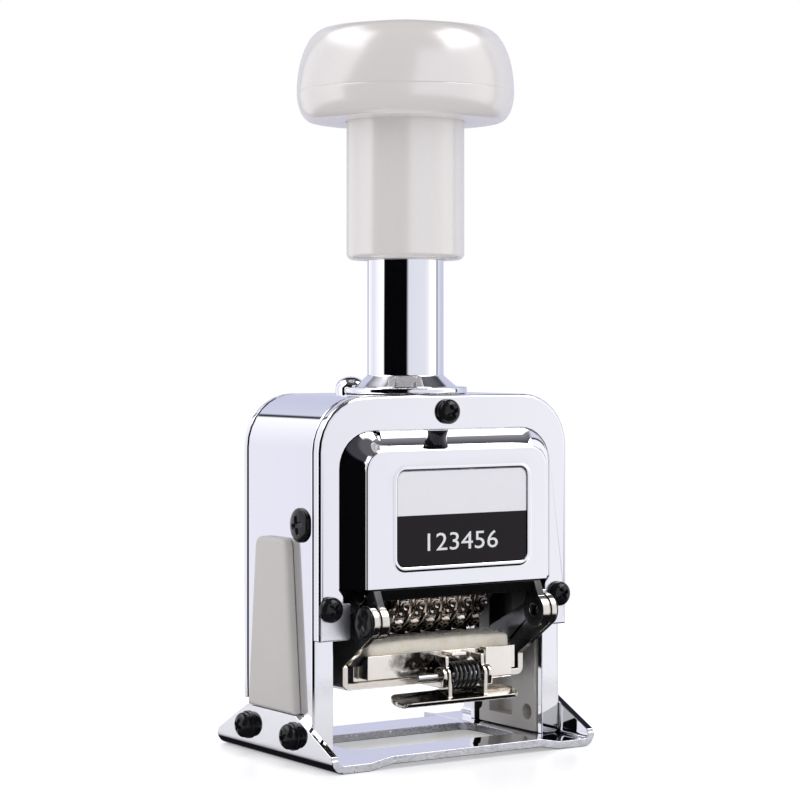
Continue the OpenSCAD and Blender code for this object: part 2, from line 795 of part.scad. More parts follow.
module axle_clips() {
    color("dimgray") both_sides() difference() {
        rod_x(rocker_out + 0.1, rocker_out + 0.1 + clip_t, axle_r + 1.4, wheel_y, wheel_z);
        rod_x(rocker_out, rocker_out + 2, axle_r - 0.35, wheel_y, wheel_z);
        translate([rocker_out, wheel_y - 0.9, wheel_z - axle_r - 2]) cube([2, 1.8, axle_r + 2]);
    }
}

module head_tie_rods() {
    color("silver") for (y = tie_y) rod_x(-cheek_out, cheek_out, tie_r, y, tie_z);
}

// Angle of a point of the wheel, counted from straight back towards the top
function on_wheel(a, r) = [wheel_y + r * cos(a), wheel_z + r * sin(a)];

module detent_comb() {
    back = wheel_y + comb_at + comb_d;
    tip = ratchet_r + finger_gap;
    color("darkgray") {
        translate([-stack_half, wheel_y + comb_at, bridge_z - comb_t])
            cube([2 * stack_half, comb_d, comb_t]);
        for (i = [0:wheel_n - 1]) along_x(slot(i) - finger_t / 2, slot(i) + finger_t / 2)
            polygon([[back, bridge_z - comb_t / 2], [wheel_y + comb_at, bridge_z - comb_t / 2],
                on_wheel(84, 1.28 * ratchet_r), on_wheel(80, tip), on_wheel(74, tip),
                on_wheel(66, 1.28 * ratchet_r)]);
    }
}

// Left face of wheel i, and the middle of the slot beside its drum
function wheel_x(i) = (i - wheel_n / 2) * pitch + 0.05;
function slot(i) = wheel_x(i) + (drum_w + pitch - 0.1) / 2;

module number_wheel(i) {
    step = 360 / type_n;
    root = ratchet_r - tooth_h;
    teeth = [for (k = [0:type_n - 1]) each [
        [ratchet_r * cos(k * step), ratchet_r * sin(k * step)],
        [root * cos(k * step + 3), root * sin(k * step + 3)]]];
    color("silver") translate([wheel_x(i), wheel_y, wheel_z]) rotate([90, 0, 90]) difference() {
        union() {
            cylinder(h = drum_w, r = drum_r);
            linear_extrude(pitch - 0.1) polygon(teeth);
            intersection() {
                cylinder(h = drum_w, r = wheel_r);
                union() for (k = [0:type_n - 1]) rotate([0, 0, k * step + step / 2]) {
                    translate([drum_r - 1, -0.24 * drum_r, 0.15])
                        cube([1 + (wheel_r - drum_r) / 2, 0.48 * drum_r, drum_w - 0.3]);
                    translate([drum_r - 1, -0.185 * drum_r, 0.5]) cube([4, 0.37 * drum_r, drum_w - 1]);
                }
            }
        }
        translate([0, 0, -1]) cylinder(h = pitch + 2, r = axle_r + running);
    }
}

module number_wheel_1() number_wheel(0);
module number_wheel_2() number_wheel(1);
module number_wheel_3() number_wheel(2);
module number_wheel_4() number_wheel(3);
module number_wheel_5() number_wheel(4);
module number_wheel_6() number_wheel(5);

// ---- Feed: rocker on the axle and stepped pawl on the rocker's rod ----

module feed_rocker() {
    pin = on_wheel(rest_angle, pawl_reach);
    color("darkgray") {
        both_sides() difference() {
            along_x(rocker_in, rocker_out) hull() {
                translate([wheel_y, wheel_z]) circle(r = 2 * axle_r, $fn = 32);
                translate(pin) circle(r = 2 * pawl_pin_r, $fn = 32);
            }
            rod_x(0, rocker_out + 1, axle_r + running, wheel_y, wheel_z);
        }
        rod_x(-rocker_out, rocker_out, pawl_pin_r, pin[0], pin[1]);
    }
}

module feed_pawl() {
    pin = on_wheel(rest_angle, pawl_reach);
    tip = ratchet_r + finger_gap;
    color("gray") difference() {
        union() {
            rod_x(-stack_half, stack_half, pawl_eye_r, pin[0], pin[1]);
            for (i = [0:wheel_n - 1]) along_x(slot(i) - finger_t / 2, slot(i) + finger_t / 2)
                polygon([on_wheel(rest_angle - 8, pawl_reach), on_wheel(rest_angle + 8, pawl_reach),
                    on_wheel(rest_angle + 6, tip + finger_gap),
                    on_wheel(rest_angle, tip + 0.4 * finger_gap * i),
                    on_wheel(rest_angle - 6, tip + 4 * finger_gap)]);
        }
        rod_x(-stack_half - 1, stack_half + 1, pawl_pin_r + running, pin[0], pin[1]);
    }
}

// ---- Ink pad ----

module pad_hanger() {
    behind = face_y + cover_t + seat;
    low = cover_z - 0.1;
    chin_z = pivot_z + arm_r + 0.4;
    color("silver") {
        along_x(-lug_out, lug_out) polygon([[behind, cover_z + 6], [behind, low],
            [behind - 0.8 * chin_t, low - 0.2], [behind + 0.5, chin_z], [behind + 1.5, chin_z + 0.4],
            [behind + chin_t, low], [behind + chin_t, cover_z + 6]]);
        difference() {
            both_sides() along_x(lug_in, lug_out) {
                translate([pivot_y, pivot_z]) circle(r = arm_r);
                polygon([[pivot_y - 0.5 * arm_r, pivot_z + 0.8 * arm_r], [behind - 0.8 * chin_t, low - 0.2],
                    [behind + chin_t, low], [pivot_y + arm_r, pivot_z]]);
            }
            rod_x(-lug_out - 1, lug_out + 1, shank_r, pivot_y, pivot_z);
        }
    }
}

module pad_pivot_screws() {
    color([0.08, 0.08, 0.09]) for (s = [-1, 1])
        translate([s * (arm_half + 0.1), pivot_y, pivot_z]) rotate([0, s * 90, 0])
            pan_screw(arm_half - lug_in + 0.4, arm_r - 0.3, 0.9);
}

module pad_pivot_washers() {
    color("silver") both_sides() difference() {
        rod_x(lug_out + 0.1, arm_in - 0.1, arm_r - 0.3, pivot_y, pivot_z);
        rod_x(lug_out, arm_in, shank_r, pivot_y, pivot_z);
    }
}

module arm_outline() {
    hull() {
        translate([pivot_y, pivot_z]) circle(r = arm_r, $fn = 40);
        translate([floor_front + 1.2, knee_z + 1]) circle(r = 1.2, $fn = 24);
        translate([tray_back - 2.4, knee_z + 3.6]) circle(r = 2.8, $fn = 32);
    }
    translate([floor_front, floor_z]) square([tray_back + 0.4 - floor_front, knee_z + 2 - floor_z]);
}

module pad_carrier() {
    rib_x = tray_half + 0.1;
    depth = tray_back - floor_front;
    color("silver") difference() {
        union() {
            both_sides() along_x(arm_in, arm_half) arm_outline();
            translate([-arm_in - 0.5, floor_front, floor_z]) cube([2 * arm_in + 1, depth, floor_t]);
            translate([-rib_x, floor_front + 1.2, floor_z + 0.5])
                cube([2 * rib_x, depth - 1.2, floor_t + seat_h - 0.5]);
            both_sides() translate([rib_x, floor_front + 1.2, floor_z])
                cube([rib_t, depth - 1.2, floor_t + seat_h + 2.6]);
            for (s = [-1, 1])
                translate([clip_mid + s * (ear_x + prong_w / 2) - prong_w / 2, clip_y - 1.6, floor_z])
                    cube([prong_w, floor_front - clip_y + 2, floor_t]);
            for (s = [-1, 1]) clip_ear(clip_mid + s * (ear_x + ear_t / 2))
                polygon([[clip_y - 1.6, floor_z], [clip_y + 1.6, floor_z], [clip_y + ear_r, clip_z],
                    [clip_y - ear_r, clip_z]]);
        }
        rod_x(-arm_half - 1, arm_half + 1, shank_r + 0.02, pivot_y, pivot_z);
        rod_x(clip_mid - ear_x - ear_t - 1, clip_mid + ear_x + ear_t + 1, clip_pin_r + 0.02, clip_y, clip_z);
    }
}

// Ear round the clip's pin, with the outline that is passed as its foot
module clip_ear(x) {
    along_x(x - ear_t / 2, x + ear_t / 2) {
        translate([clip_y, clip_z]) circle(r = ear_r);
        children();
    }
}

module pad_tray() {
    t = tray_t;
    w = tray_half;
    depth = tray_back - tray_front;
    lip_front = tray_front - 2.1;
    lip_top = tray_z + tray_h + 0.3;
    roll = 0.8;
    lip_low = tray_z - 1.1;
    color([0.86, 0.83, 0.78]) {
        difference() {
            translate([-w, tray_front, tray_z]) cube([2 * w, depth, tray_h]);
            translate([t - w, tray_front + t, tray_z + t]) cube([2 * (w - t), depth - 2 * t, tray_h]);
        }
        along_x(clip_mid + ear_x + prong_w + 0.3, w - 2.4) {
            polygon([[tray_front + t, tray_z + 2], [tray_front + t, lip_top], [lip_front, lip_top],
                [lip_front, lip_low], [lip_front + t, lip_low], [lip_front + t, lip_top - t],
                [tray_front, lip_top - t], [tray_front, tray_z + 2]]);
            translate([lip_front + roll, lip_low]) circle(r = roll, $fn = 24);
        }
        translate([clip_mid - 2, tray_front - 2.2, tray_z + tray_h - 1.2]) cube([4, 2.6, t]);
    }
}

module felt_pad() {
    w = tray_half - tray_t - 0.1;
    color([0.9, 0.87, 0.78]) translate([-w, felt_y - felt_d / 2, tray_z + tray_t])
        cube([2 * w, felt_d, felt_h]);
}

module clip_pin() {
    out = ear_x + ear_t + 0.6;
    color("silver") rod_x(clip_mid - out - pin_tail, clip_mid + out, clip_pin_r, clip_y, clip_z);
}

module clip_lever() {
    front = clip_y - lever_reach;
    back = clip_y + lever_back;
    low = floor_z - lever_drop;
    high = floor_z - 0.85;
    hook = clip_z + 4.4;
    color([0.75, 0.73, 0.72]) difference() {
        union() {
            intersection() {
                along_x(lever_mid - lever_w / 2, lever_mid + lever_w / 2) polygon([[front, low],
                    [back, high], [back, high - lever_t], [front + 0.4, low - lever_t]]);
                translate([lever_mid, (front + back) / 2, low - 2 * lever_t]) linear_extrude(6)
                    polygon(round_rect(lever_w, back - front, lever_end_r));
            }
            for (s = [-1, 1]) clip_ear(clip_mid + s * (lever_ear_x - ear_t / 2)) {
                polygon([[clip_y - ear_r, clip_z], [front + 1.4, low], [back, high - lever_t / 2],
                    [clip_y + ear_r, clip_z]]);
                polygon([[clip_y - 1, clip_z], [clip_y - 0.6, hook], [tray_front - fit, hook],
                    [tray_front - fit, hook - 1], [clip_y + 1.6, hook - 2], [clip_y + 1.6, clip_z]]);
            }
        }
        rod_x(clip_mid - ear_x, clip_mid + ear_x, clip_pin_r + running, clip_y, clip_z);
    }
}

module clip_spring() {
    turns = 6;
    length = 2 * (lever_ear_x - ear_t) - 0.6;
    color([0.1, 0.1, 0.1]) translate([clip_mid - length / 2, clip_y, clip_z])
        coil(turns, length - coil_wire, coil_r - coil_wire / 2, coil_wire, 18, 6);
}

base_plate();
base_screws();
base_washers();
casing();
front_plate();
front_plate_screws();
front_cover();
label_plate();
oil_hole_bush();
back_plate();
back_plate_screws();
side_insert_left();
side_insert_right();
side_screws();
stem();
stem_nut();
lock_button();
pad_hanger();
pad_pivot_screws();
pad_pivot_washers();
pad_carrier();
pad_tray();
felt_pad();
clip_lever();
clip_pin();
clip_spring();
knob();
knob_sleeve();
plunger_rod();
return_spring();
head_yoke();
head_cheek_left();
head_cheek_right();
cheek_screws();
wheel_axle();
axle_clips();
head_tie_rods();
detent_comb();
number_wheel_1();
number_wheel_2();
number_wheel_3();
number_wheel_4();
number_wheel_5();
number_wheel_6();
feed_rocker();
feed_pawl();
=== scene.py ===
import math

import bmesh
import bpy
from mathutils import Euler, Matrix, Vector, noise


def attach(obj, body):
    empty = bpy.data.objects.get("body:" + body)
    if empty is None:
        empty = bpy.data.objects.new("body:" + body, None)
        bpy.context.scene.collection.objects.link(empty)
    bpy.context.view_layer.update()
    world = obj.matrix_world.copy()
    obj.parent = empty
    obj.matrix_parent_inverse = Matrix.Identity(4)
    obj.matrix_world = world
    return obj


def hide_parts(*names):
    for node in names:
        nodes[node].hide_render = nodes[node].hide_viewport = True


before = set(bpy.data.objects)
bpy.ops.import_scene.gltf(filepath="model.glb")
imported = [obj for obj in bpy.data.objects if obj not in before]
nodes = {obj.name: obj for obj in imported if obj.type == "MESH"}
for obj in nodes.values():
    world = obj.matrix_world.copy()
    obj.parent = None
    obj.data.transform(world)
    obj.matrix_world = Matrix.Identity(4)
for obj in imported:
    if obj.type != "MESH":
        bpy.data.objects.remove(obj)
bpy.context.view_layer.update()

mm = 0.001
scene = bpy.context.scene


# Shader helpers

def feed(tree, node, inputs):  # links a socket, sets a plain value
    for key, value in inputs.items():
        if isinstance(value, bpy.types.NodeSocket):
            tree.links.new(value, node.inputs[key])
        elif value is not None:
            node.inputs[key].default_value = value
    return node


def addNode(tree, kind, inputs=None, **settings):
    n = tree.nodes.new(kind)
    for key, value in settings.items():
        setattr(n, key, value)
    return feed(tree, n, inputs or {})


def mathNode(tree, how, a, b=None, c=None, clamp=False):
    return addNode(tree, "ShaderNodeMath", {0: a, 1: b, 2: c}, operation=how, use_clamp=clamp).outputs[0]


def vectorNode(tree, how, a, b=None):
    return addNode(tree, "ShaderNodeVectorMath", {0: a, 1: b}, operation=how).outputs


def mixNode(tree, factor, a, b):  # two colours, each a triple or a socket
    a, b = ((*c, 1) if isinstance(c, tuple) else c for c in (a, b))
    inputs = {"Factor": factor, "A": a, "B": b}
    return addNode(tree, "ShaderNodeMix", inputs, data_type="RGBA").outputs["Result"]


def rangeNode(tree, value, low, high, toLow=0.0, toHigh=1.0, smooth=False):
    limits = {"Value": value, "From Min": low, "From Max": high, "To Min": toLow, "To Max": toHigh}
    how = "SMOOTHSTEP" if smooth else "LINEAR"
    return addNode(tree, "ShaderNodeMapRange", limits, interpolation_type=how).outputs["Result"]


def rampNode(tree, value, stops):
    n = addNode(tree, "ShaderNodeValToRGB", {"Fac": value})
    spots = n.color_ramp.elements
    while len(spots) > 1:
        spots.remove(spots[-1])
    for i, (at, color) in enumerate(stops):
        spot = spots[0] if i == 0 else spots.new(at)
        spot.position = at
        spot.color = (*color, 1)
    return n.outputs["Color"]


def noiseNode(tree, place, scale, detail, roughness):
    return addNode(tree, "ShaderNodeTexNoise", {"Vector": place, "Scale": scale, "Detail": detail,
                                                "Roughness": roughness}).outputs["Fac"]


def bumpNode(tree, height, strength, distance):
    return addNode(tree, "ShaderNodeBump", {"Strength": strength, "Distance": distance,
                                            "Height": height}).outputs["Normal"]


def placeOf(tree):
    return addNode(tree, "ShaderNodeTexCoord").outputs["Object"]


def newGroup(name, inputs, outputs):  # a plain number is a float socket, a triple a vector
    group = bpy.data.node_groups.new(name, "ShaderNodeTree")
    for label, value in inputs.items():
        kind = "NodeSocketVector" if isinstance(value, tuple) else "NodeSocketFloat"
        group.interface.new_socket(label, in_out="INPUT", socket_type=kind).default_value = value
    for label in outputs:
        group.interface.new_socket(label, in_out="OUTPUT", socket_type="NodeSocketFloat")
    return group, addNode(group, "NodeGroupInput").outputs, addNode(group, "NodeGroupOutput")


# Handling marks: soft patches and fine scratches that change the roughness
def makeHandlingGroup():
    group, start, end = newGroup("handlingMarks", {"Patch Scale": 60.0, "Fine Scale": 900.0, "Low": 0.03,
                                                   "High": 0.09}, ("Roughness", "Mask"))
    patch = noiseNode(group, placeOf(group), start["Patch Scale"], 3, 0.6)
    fine = noiseNode(group, placeOf(group), start["Fine Scale"], 2, 0.7)
    blend = mathNode(group, "MULTIPLY_ADD", fine, 0.35, mathNode(group, "MULTIPLY", patch, 0.65))
    rough = rangeNode(group, blend, 0.35, 0.68, start["Low"], start["High"])
    feed(group, end, {"Roughness": rough, "Mask": blend})
    return group


# Slow waves of pressed or cast surfaces with a little orange peel
def makeWaveGroup():
    group, start, end = newGroup("sheetWaves", {"Wave Scale": 40.0, "Peel Scale": 500.0, "Peel Share": 0.1},
                                 ("Height",))
    wave = noiseNode(group, placeOf(group), start["Wave Scale"], 1, 0.4)
    peel = noiseNode(group, placeOf(group), start["Peel Scale"], 1, 0.5)
    part = mathNode(group, "MULTIPLY", peel, start["Peel Share"])
    feed(group, end, {"Height": mathNode(group, "ADD", wave, part)})
    return group


# Edges tinted, as wear and as a painted highlight, and concave corners darkened, from the curvature of the
# mesh
def makeEdgeGroup():
    group, start, end = newGroup("edgeRub", {"Spread": 0.06, "Break Up": 300.0}, ("Edge", "Corner"))
    point = addNode(group, "ShaderNodeNewGeometry").outputs["Pointiness"]
    grit = noiseNode(group, placeOf(group), start["Break Up"], 3, 0.6)
    lift = mathNode(group, "SUBTRACT", point, 0.5)
    for label, side in (("Edge", 1.0), ("Corner", -1.0)):
        part = mathNode(group, "DIVIDE", mathNode(group, "MULTIPLY", lift, side), start["Spread"], clamp=True)
        feed(group, end, {label: mathNode(group, "MULTIPLY", part, grit)})
    return group


# A ragged patch round a point, as wide as its size says: it masks painted shade, a painted reflection and
# rougher satin spots
def makeBlotGroup():
    group, start, end = newGroup("inkBlot", {"Centre": (0, 0, 0), "Size": (0.01, 0.01, 0.01), "Ragged": 1.0,
                                             "Edge": 3.0}, ("Mask",))
    off = vectorNode(group, "SUBTRACT", placeOf(group), start["Centre"])[0]
    far = vectorNode(group, "LENGTH", vectorNode(group, "DIVIDE", off, start["Size"])[0])["Value"]
    grit = noiseNode(group, placeOf(group), 420.0, 4, 0.65)
    near = mathNode(group, "MULTIPLY", mathNode(group, "SUBTRACT", 1.0, far), start["Edge"])
    wild = mathNode(group, "MULTIPLY", mathNode(group, "SUBTRACT", grit, 0.5), start["Ragged"])
    feed(group, end, {"Mask": mathNode(group, "ADD", near, wild, clamp=True)})
    return group


handlingMarks = makeHandlingGroup()
sheetWaves = makeWaveGroup()
edgeRub = makeEdgeGroup()
inkBlot = makeBlotGroup()
print("shader groups made")


def useGroup(tree, group, **values):  # inputs by name, with _ for a blank
    inputs = {key.replace("_", " "): value for key, value in values.items()}
    return addNode(tree, "ShaderNodeGroup", inputs, node_tree=group).outputs


def newMaterial(name):
    mat = bpy.data.materials.new(name)
    mat.use_nodes = True
    return mat, mat.node_tree, mat.node_tree.nodes["Principled BSDF"]


def blotMask(tree, centre, size, ragged, edge):
    return useGroup(tree, inkBlot, Centre=Vector(centre) * mm, Size=Vector(size) * mm, Ragged=ragged,
                    Edge=edge)["Mask"]


# What a finish has unless its own look says otherwise
plainLook = {"patch": 60.0, "fine": 900.0, "spread": 0.06, "wearAndShine": 0.4, "hollowDark": 0.6,
             "hollowTone": (0.02, 0.018, 0.016), "wave": 40.0, "peel": 500.0, "peelShare": 0.1,
             "bump": 0.1, "depth": 0.0001, "metal": 0.0, "coat": 0.0, "coatRough": 0.05,
             "specular": 0.5, "ior": 1.5, "blots": (), "satin": ()}
satinForm = {"ragged": 0.6, "edge": 2.5, "dull": 0.30}


# One recipe for metal, plastic and paint: two tones mixed by the handling mask, roughness from the handling
# group, edges tinted as wear and as a painted highlight, concave corners darkened, painted dark patches, and
# a bump of slow waves
def makeFinish(name, look):
    look = {**plainLook, "toneTwo": look["tone"], "wearAndShineTone": look["tone"], **look}
    mat, tree, shader = newMaterial(name)
    marks = useGroup(tree, handlingMarks, Patch_Scale=look["patch"], Fine_Scale=look["fine"],
                     Low=look["rough"][0], High=look["rough"][1])
    wearAndShine = useGroup(tree, edgeRub, Spread=look["spread"])
    color = mixNode(tree, marks["Mask"], look["tone"], look["toneTwo"])
    # the edge tone is partly wear and partly a painted highlight
    color = mixNode(tree, mathNode(tree, "MULTIPLY", wearAndShine["Edge"], look["wearAndShine"]), color, look["wearAndShineTone"])
    # concave corners darkened towards the hollow tone
    color = mixNode(tree, mathNode(tree, "MULTIPLY", wearAndShine["Corner"], look["hollowDark"]), color, look["hollowTone"])
    # dark patches painted on: painted shade, and on the tray a painted reflection
    for centre, size, ragged, edge, tone in look["blots"]:
        color = mixNode(tree, blotMask(tree, centre, size, ragged, edge), color, tone)
    rough = marks["Roughness"]
    for centre, size in look["satin"]:
        dull = blotMask(tree, centre, size, satinForm["ragged"], satinForm["edge"])
        rough = mathNode(tree, "MULTIPLY_ADD", dull, satinForm["dull"], rough)
    wave = useGroup(tree, sheetWaves, Wave_Scale=look["wave"], Peel_Scale=look["peel"],
                    Peel_Share=look["peelShare"])
    feed(tree, shader, {
        "Base Color": color, "Roughness": rough, "Metallic": look["metal"], "Coat Weight": look["coat"],
        "Coat Roughness": look["coatRough"], "Specular IOR Level": look["specular"], "IOR": look["ior"],
        "Normal": bumpNode(tree, wave["Height"], look["bump"], look["depth"])})
    return mat


chromeLook = {"tone": (0.90, 0.90, 0.925), "toneTwo": (0.87, 0.87, 0.90), "rough": (0.015, 0.04),
              "metal": 1.0, "patch": 45.0, "wave": 55.0, "bump": 0.3, "depth": 0.00008,
              "peel": 700.0, "peelShare": 0.02, "wearAndShine": 0.2, "wearAndShineTone": (0.95, 0.95, 0.96), "hollowDark": 0.5}
coverLook = {**chromeLook, "wave": 35.0, "bump": 0.2, "rough": (0.012, 0.035)}
stemLook = {**chromeLook, "wave": 20.0, "bump": 0.05, "rough": (0.01, 0.03)}
plateLook = {**chromeLook, "satin": [((s * 29.0, -16.9, 31.0), (7, 3, 7)) for s in (-1, 1)]}
# Painted shade: the inner faces of the casing, plates and cover are near black, for the shade inside the
# casing
insideShadeLook = {"tone": (0.022, 0.021, 0.024), "toneTwo": (0.045, 0.043, 0.046), "rough": (0.35, 0.6),
             "metal": 0.6, "patch": 120.0, "bump": 0.3}
nickelLook = {"tone": (0.80, 0.755, 0.68), "toneTwo": (0.70, 0.65, 0.58), "rough": (0.06, 0.20),
              "metal": 1.0, "patch": 160.0, "fine": 1800.0, "wave": 120.0, "bump": 0.4,
              "depth": 0.00006, "wearAndShineTone": (0.92, 0.89, 0.84), "wearAndShine": 0.5, "hollowDark": 0.9}
steelLook = {"tone": (0.62, 0.62, 0.64), "toneTwo": (0.5, 0.5, 0.52), "rough": (0.14, 0.28),
             "metal": 1.0, "patch": 200.0, "bump": 0.2, "hollowDark": 0.8}
darkSteelLook = {"tone": (0.16, 0.155, 0.16), "toneTwo": (0.09, 0.088, 0.09), "rough": (0.2, 0.4),
                 "metal": 1.0, "patch": 200.0, "bump": 0.2, "wearAndShineTone": (0.5, 0.5, 0.5), "wearAndShine": 0.8}
screwLook = {"tone": (0.004, 0.004, 0.005), "toneTwo": (0.009, 0.008, 0.010), "rough": (0.10, 0.22),
             "patch": 500.0, "fine": 2500.0, "wave": 900.0, "bump": 0.35, "depth": 0.00005,
             "coat": 0.12, "coatRough": 0.06, "specular": 0.25, "wearAndShineTone": (0.05, 0.05, 0.055), "wearAndShine": 0.25}
springLook = {**screwLook, "specular": 0.9, "rough": (0.12, 0.25), "wearAndShineTone": (0.05, 0.05, 0.05), "wearAndShine": 0.5}
wireLook = {**steelLook, "tone": (0.55, 0.55, 0.57)}
knobLook = {"tone": (0.80, 0.762, 0.742), "toneTwo": (0.785, 0.747, 0.727), "rough": (0.20, 0.24),
            "patch": 25.0, "wave": 30.0, "bump": 0.05, "specular": 1.0, "ior": 1.78,
            "wearAndShineTone": (0.79, 0.765, 0.75), "wearAndShine": 0.3, "hollowTone": (0.45, 0.42, 0.40), "hollowDark": 0.5}
sideLook = {"tone": (0.60, 0.575, 0.555), "toneTwo": (0.57, 0.545, 0.525), "rough": (0.38, 0.50),
            "patch": 60.0, "fine": 1500.0, "wave": 1400.0, "peel": 3000.0, "peelShare": 0.8,
            "bump": 0.25, "depth": 0.00004, "wearAndShineTone": (0.66, 0.64, 0.62), "wearAndShine": 0.3,
            "hollowTone": (0.3, 0.27, 0.25)}

chrome = makeFinish("chromePlate", chromeLook)
coverChrome = makeFinish("coverChrome", coverLook)
plateChrome = makeFinish("plateChrome", plateLook)
stemChrome = makeFinish("stemChrome", stemLook)
innerSteel = makeFinish("innerSteel", insideShadeLook)
nickel = makeFinish("nickelPlate", nickelLook)
steel = makeFinish("turnedSteel", steelLook)
darkSteel = makeFinish("blackenedSteel", darkSteelLook)
screwBlack = makeFinish("screwBlack", screwLook)
springBlack = makeFinish("springBlack", springLook)
springWire = makeFinish("springWire", wireLook)
knobPlastic = makeFinish("knobPlastic", knobLook)
sidePlastic = makeFinish("sidePlastic", sideLook)
print("metal and plastic finishes made")


# Mesh helpers

def toMesh(bm, name, scale=mm):
    bmesh.ops.scale(bm, vec=(scale,) * 3, verts=bm.verts)
    mesh = bpy.data.meshes.new(name)
    bm.to_mesh(mesh)
    bm.free()
    return mesh


def stand(name, mesh, materials):
    obj = bpy.data.objects.new(name, mesh)
    scene.collection.objects.link(obj)
    for m in materials:
        if m.name not in [s.name for s in mesh.materials if s]:
            mesh.materials.append(m)
    return obj


def bakeModifiers(obj):
    deps = bpy.context.evaluated_depsgraph_get()
    mesh = bpy.data.meshes.new_from_object(obj.evaluated_get(deps), depsgraph=deps)
    obj.modifiers.clear()
    old = obj.data
    obj.data = mesh
    mesh.name = obj.name
    if old.users == 0:
        bpy.data.meshes.remove(old)
    return obj


def mount(obj, body, slotName, *replaced):
    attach(obj, body)
    if replaced:
        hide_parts(*replaced)
    return obj


def smoothFaces(mesh, angle=None):
    mesh.polygons.foreach_set("use_smooth", [True] * len(mesh.polygons))
    if angle is not None:
        mesh.set_sharp_from_angle(angle=math.radians(angle))


def keepFlat(obj):  # large flat faces keep their own normal, the narrow ones beside them bend
    flat = obj.modifiers.new("flat", "WEIGHTED_NORMAL")
    flat.keep_sharp = True
    flat.weight = 100
    flat.thresh = 0.001


def edgeAt(e):  # its middle and its direction
    a, b = (v.co for v in e.verts)
    return (a + b) / 2 / mm, (b - a).normalized()


def cutWith(obj, cutter, solver):
    saw = obj.modifiers.new("cut", "BOOLEAN")
    saw.object = cutter
    saw.operation = "DIFFERENCE"
    saw.solver = solver
    return saw


# A copy of CAD nodes with its doubles merged and its edges rounded
def rounded(name, body, slotName, materials, look, *cadNodes):
    bm = bmesh.new()
    for n in cadNodes:
        bm.from_mesh(nodes[n].data)
    bmesh.ops.remove_doubles(bm, verts=bm.verts, dist=2e-6)
    bmesh.ops.dissolve_limit(bm, angle_limit=math.radians(0.3), verts=bm.verts, edges=bm.edges,
                             delimit={"NORMAL"})
    if "early" in look:  # wide bends that run through to the ends of the piece
        pick, size = look["early"]
        bends = [e for e in bm.edges if len(e.link_faces) == 2 and e.calc_face_angle(0) > 1
                 and pick(*edgeAt(e))]
        bmesh.ops.bevel(bm, geom=bends, offset=size * mm, segments=5, profile=0.5, affect="EDGES",
                        clamp_overlap=False)
    weight = bm.edges.layers.float.new("bevel_weight_edge")
    limit = math.radians(look.get("angle", 34))
    bm.faces.ensure_lookup_table()
    for f in bm.faces:
        f.smooth = True
    for e in bm.edges:
        mid, way = edgeAt(e)
        if len(e.link_faces) == 2 and e.calc_face_angle(0) > limit:
            e[weight] = look["share"](mid, way) if "share" in look else 1.0
        elif "crease" in look and look["crease"](mid):
            e.smooth = False
    if "paint" in look:
        for f in bm.faces:
            f.material_index = look["paint"](f.calc_center_median() / mm, f.normal)
    obj = stand(name, toMesh(bm, name, 1.0), materials)
    bevel = obj.modifiers.new("round", "BEVEL")
    bevel.limit_method = "WEIGHT"
    bevel.width = look["bevel"] * mm
    bevel.segments = look.get("segments", 3)
    bevel.harden_normals = True
    bevel.use_clamp_overlap = False
    keepFlat(obj)
    bakeModifiers(obj)
    return mount(obj, body, slotName, *cadNodes)


# Spins a profile of radius and height round Z
def latheMesh(name, profile, steps=128):
    bm = bmesh.new()
    rings = []
    for r, z in profile:
        if r < 1e-6:
            rings.append([bm.verts.new((0, 0, z))])
        else:
            rings.append([bm.verts.new((r * math.cos(2 * math.pi * k / steps),
                                        r * math.sin(2 * math.pi * k / steps), z)) for k in range(steps)])
    for a, b in zip(rings, rings[1:] + rings[:1]):
        if len(a) == 1 and len(b) == 1:
            continue
        for k in range(steps):
            j = (k + 1) % steps
            loop = [a[k % len(a)], a[j % len(a)], b[j % len(b)], b[k % len(b)]]
            bm.faces.new(list(dict.fromkeys(loop)))
    bmesh.ops.recalc_face_normals(bm, faces=bm.faces)
    return toMesh(bm, name)


def arcPoints(cx, cy, r, fromDeg, toDeg, n):
    return [(cx + r * math.cos(math.radians(fromDeg + (toDeg - fromDeg) * i / n)),
             cy + r * math.sin(math.radians(fromDeg + (toDeg - fromDeg) * i / n))) for i in range(n + 1)]


# Casing, plates and base

casingForm = {"half": 33.5, "depthHalf": 14.3, "top": 80.4, "corner": 12.0, "inside": 1.55, "lip": 12.65,
              "plateFace": 16.9}


def archInset(x, z):  # distance inside the casing's outer outline
    c = casingForm
    dx, dz = abs(x) - (c["half"] - c["corner"]), z - (c["top"] - c["corner"])
    if dx > 0 and dz > 0:
        return c["corner"] - math.hypot(dx, dz)
    return min(c["half"] - abs(x), c["top"] - z)


def outerEdge(plane, soft, fine):  # soft edges on the outline at that depth, fine ones elsewhere
    def share(mid, way):
        onOutline = archInset(mid.x, mid.z) < 0.15
        return soft if onOutline and abs(abs(mid.y) - plane) < 0.06 else fine
    return share


casingLook = {"bevel": 0.9, "share": outerEdge(casingForm["depthHalf"], 1.0, 0.3), "segments": 4,
              "paint": lambda c, n: int(archInset(c.x, c.z) > casingForm["inside"]
                                        and abs(c.y) < casingForm["lip"])}
rounded("casingShell", "frame", "chrome", [chrome, innerSteel], casingLook, "casing")

frontLook = {"bevel": 0.9, "share": outerEdge(casingForm["plateFace"], 1.0, 0.4), "segments": 4,
             "paint": lambda c, n: 1 if n.y > 0.9 else 0}
rounded("frontPlate", "frame", "chrome", [plateChrome, innerSteel], frontLook, "front_plate")

backLook = {"bevel": 0.5, "share": lambda mid, way: 1.0 if mid.y > 15.8 else 0.4,
            "paint": lambda c, n: 1 if n.y < -0.9 else 0}
rounded("backPlate", "frame", "chrome", [chrome, innerSteel], backLook, "back_plate")

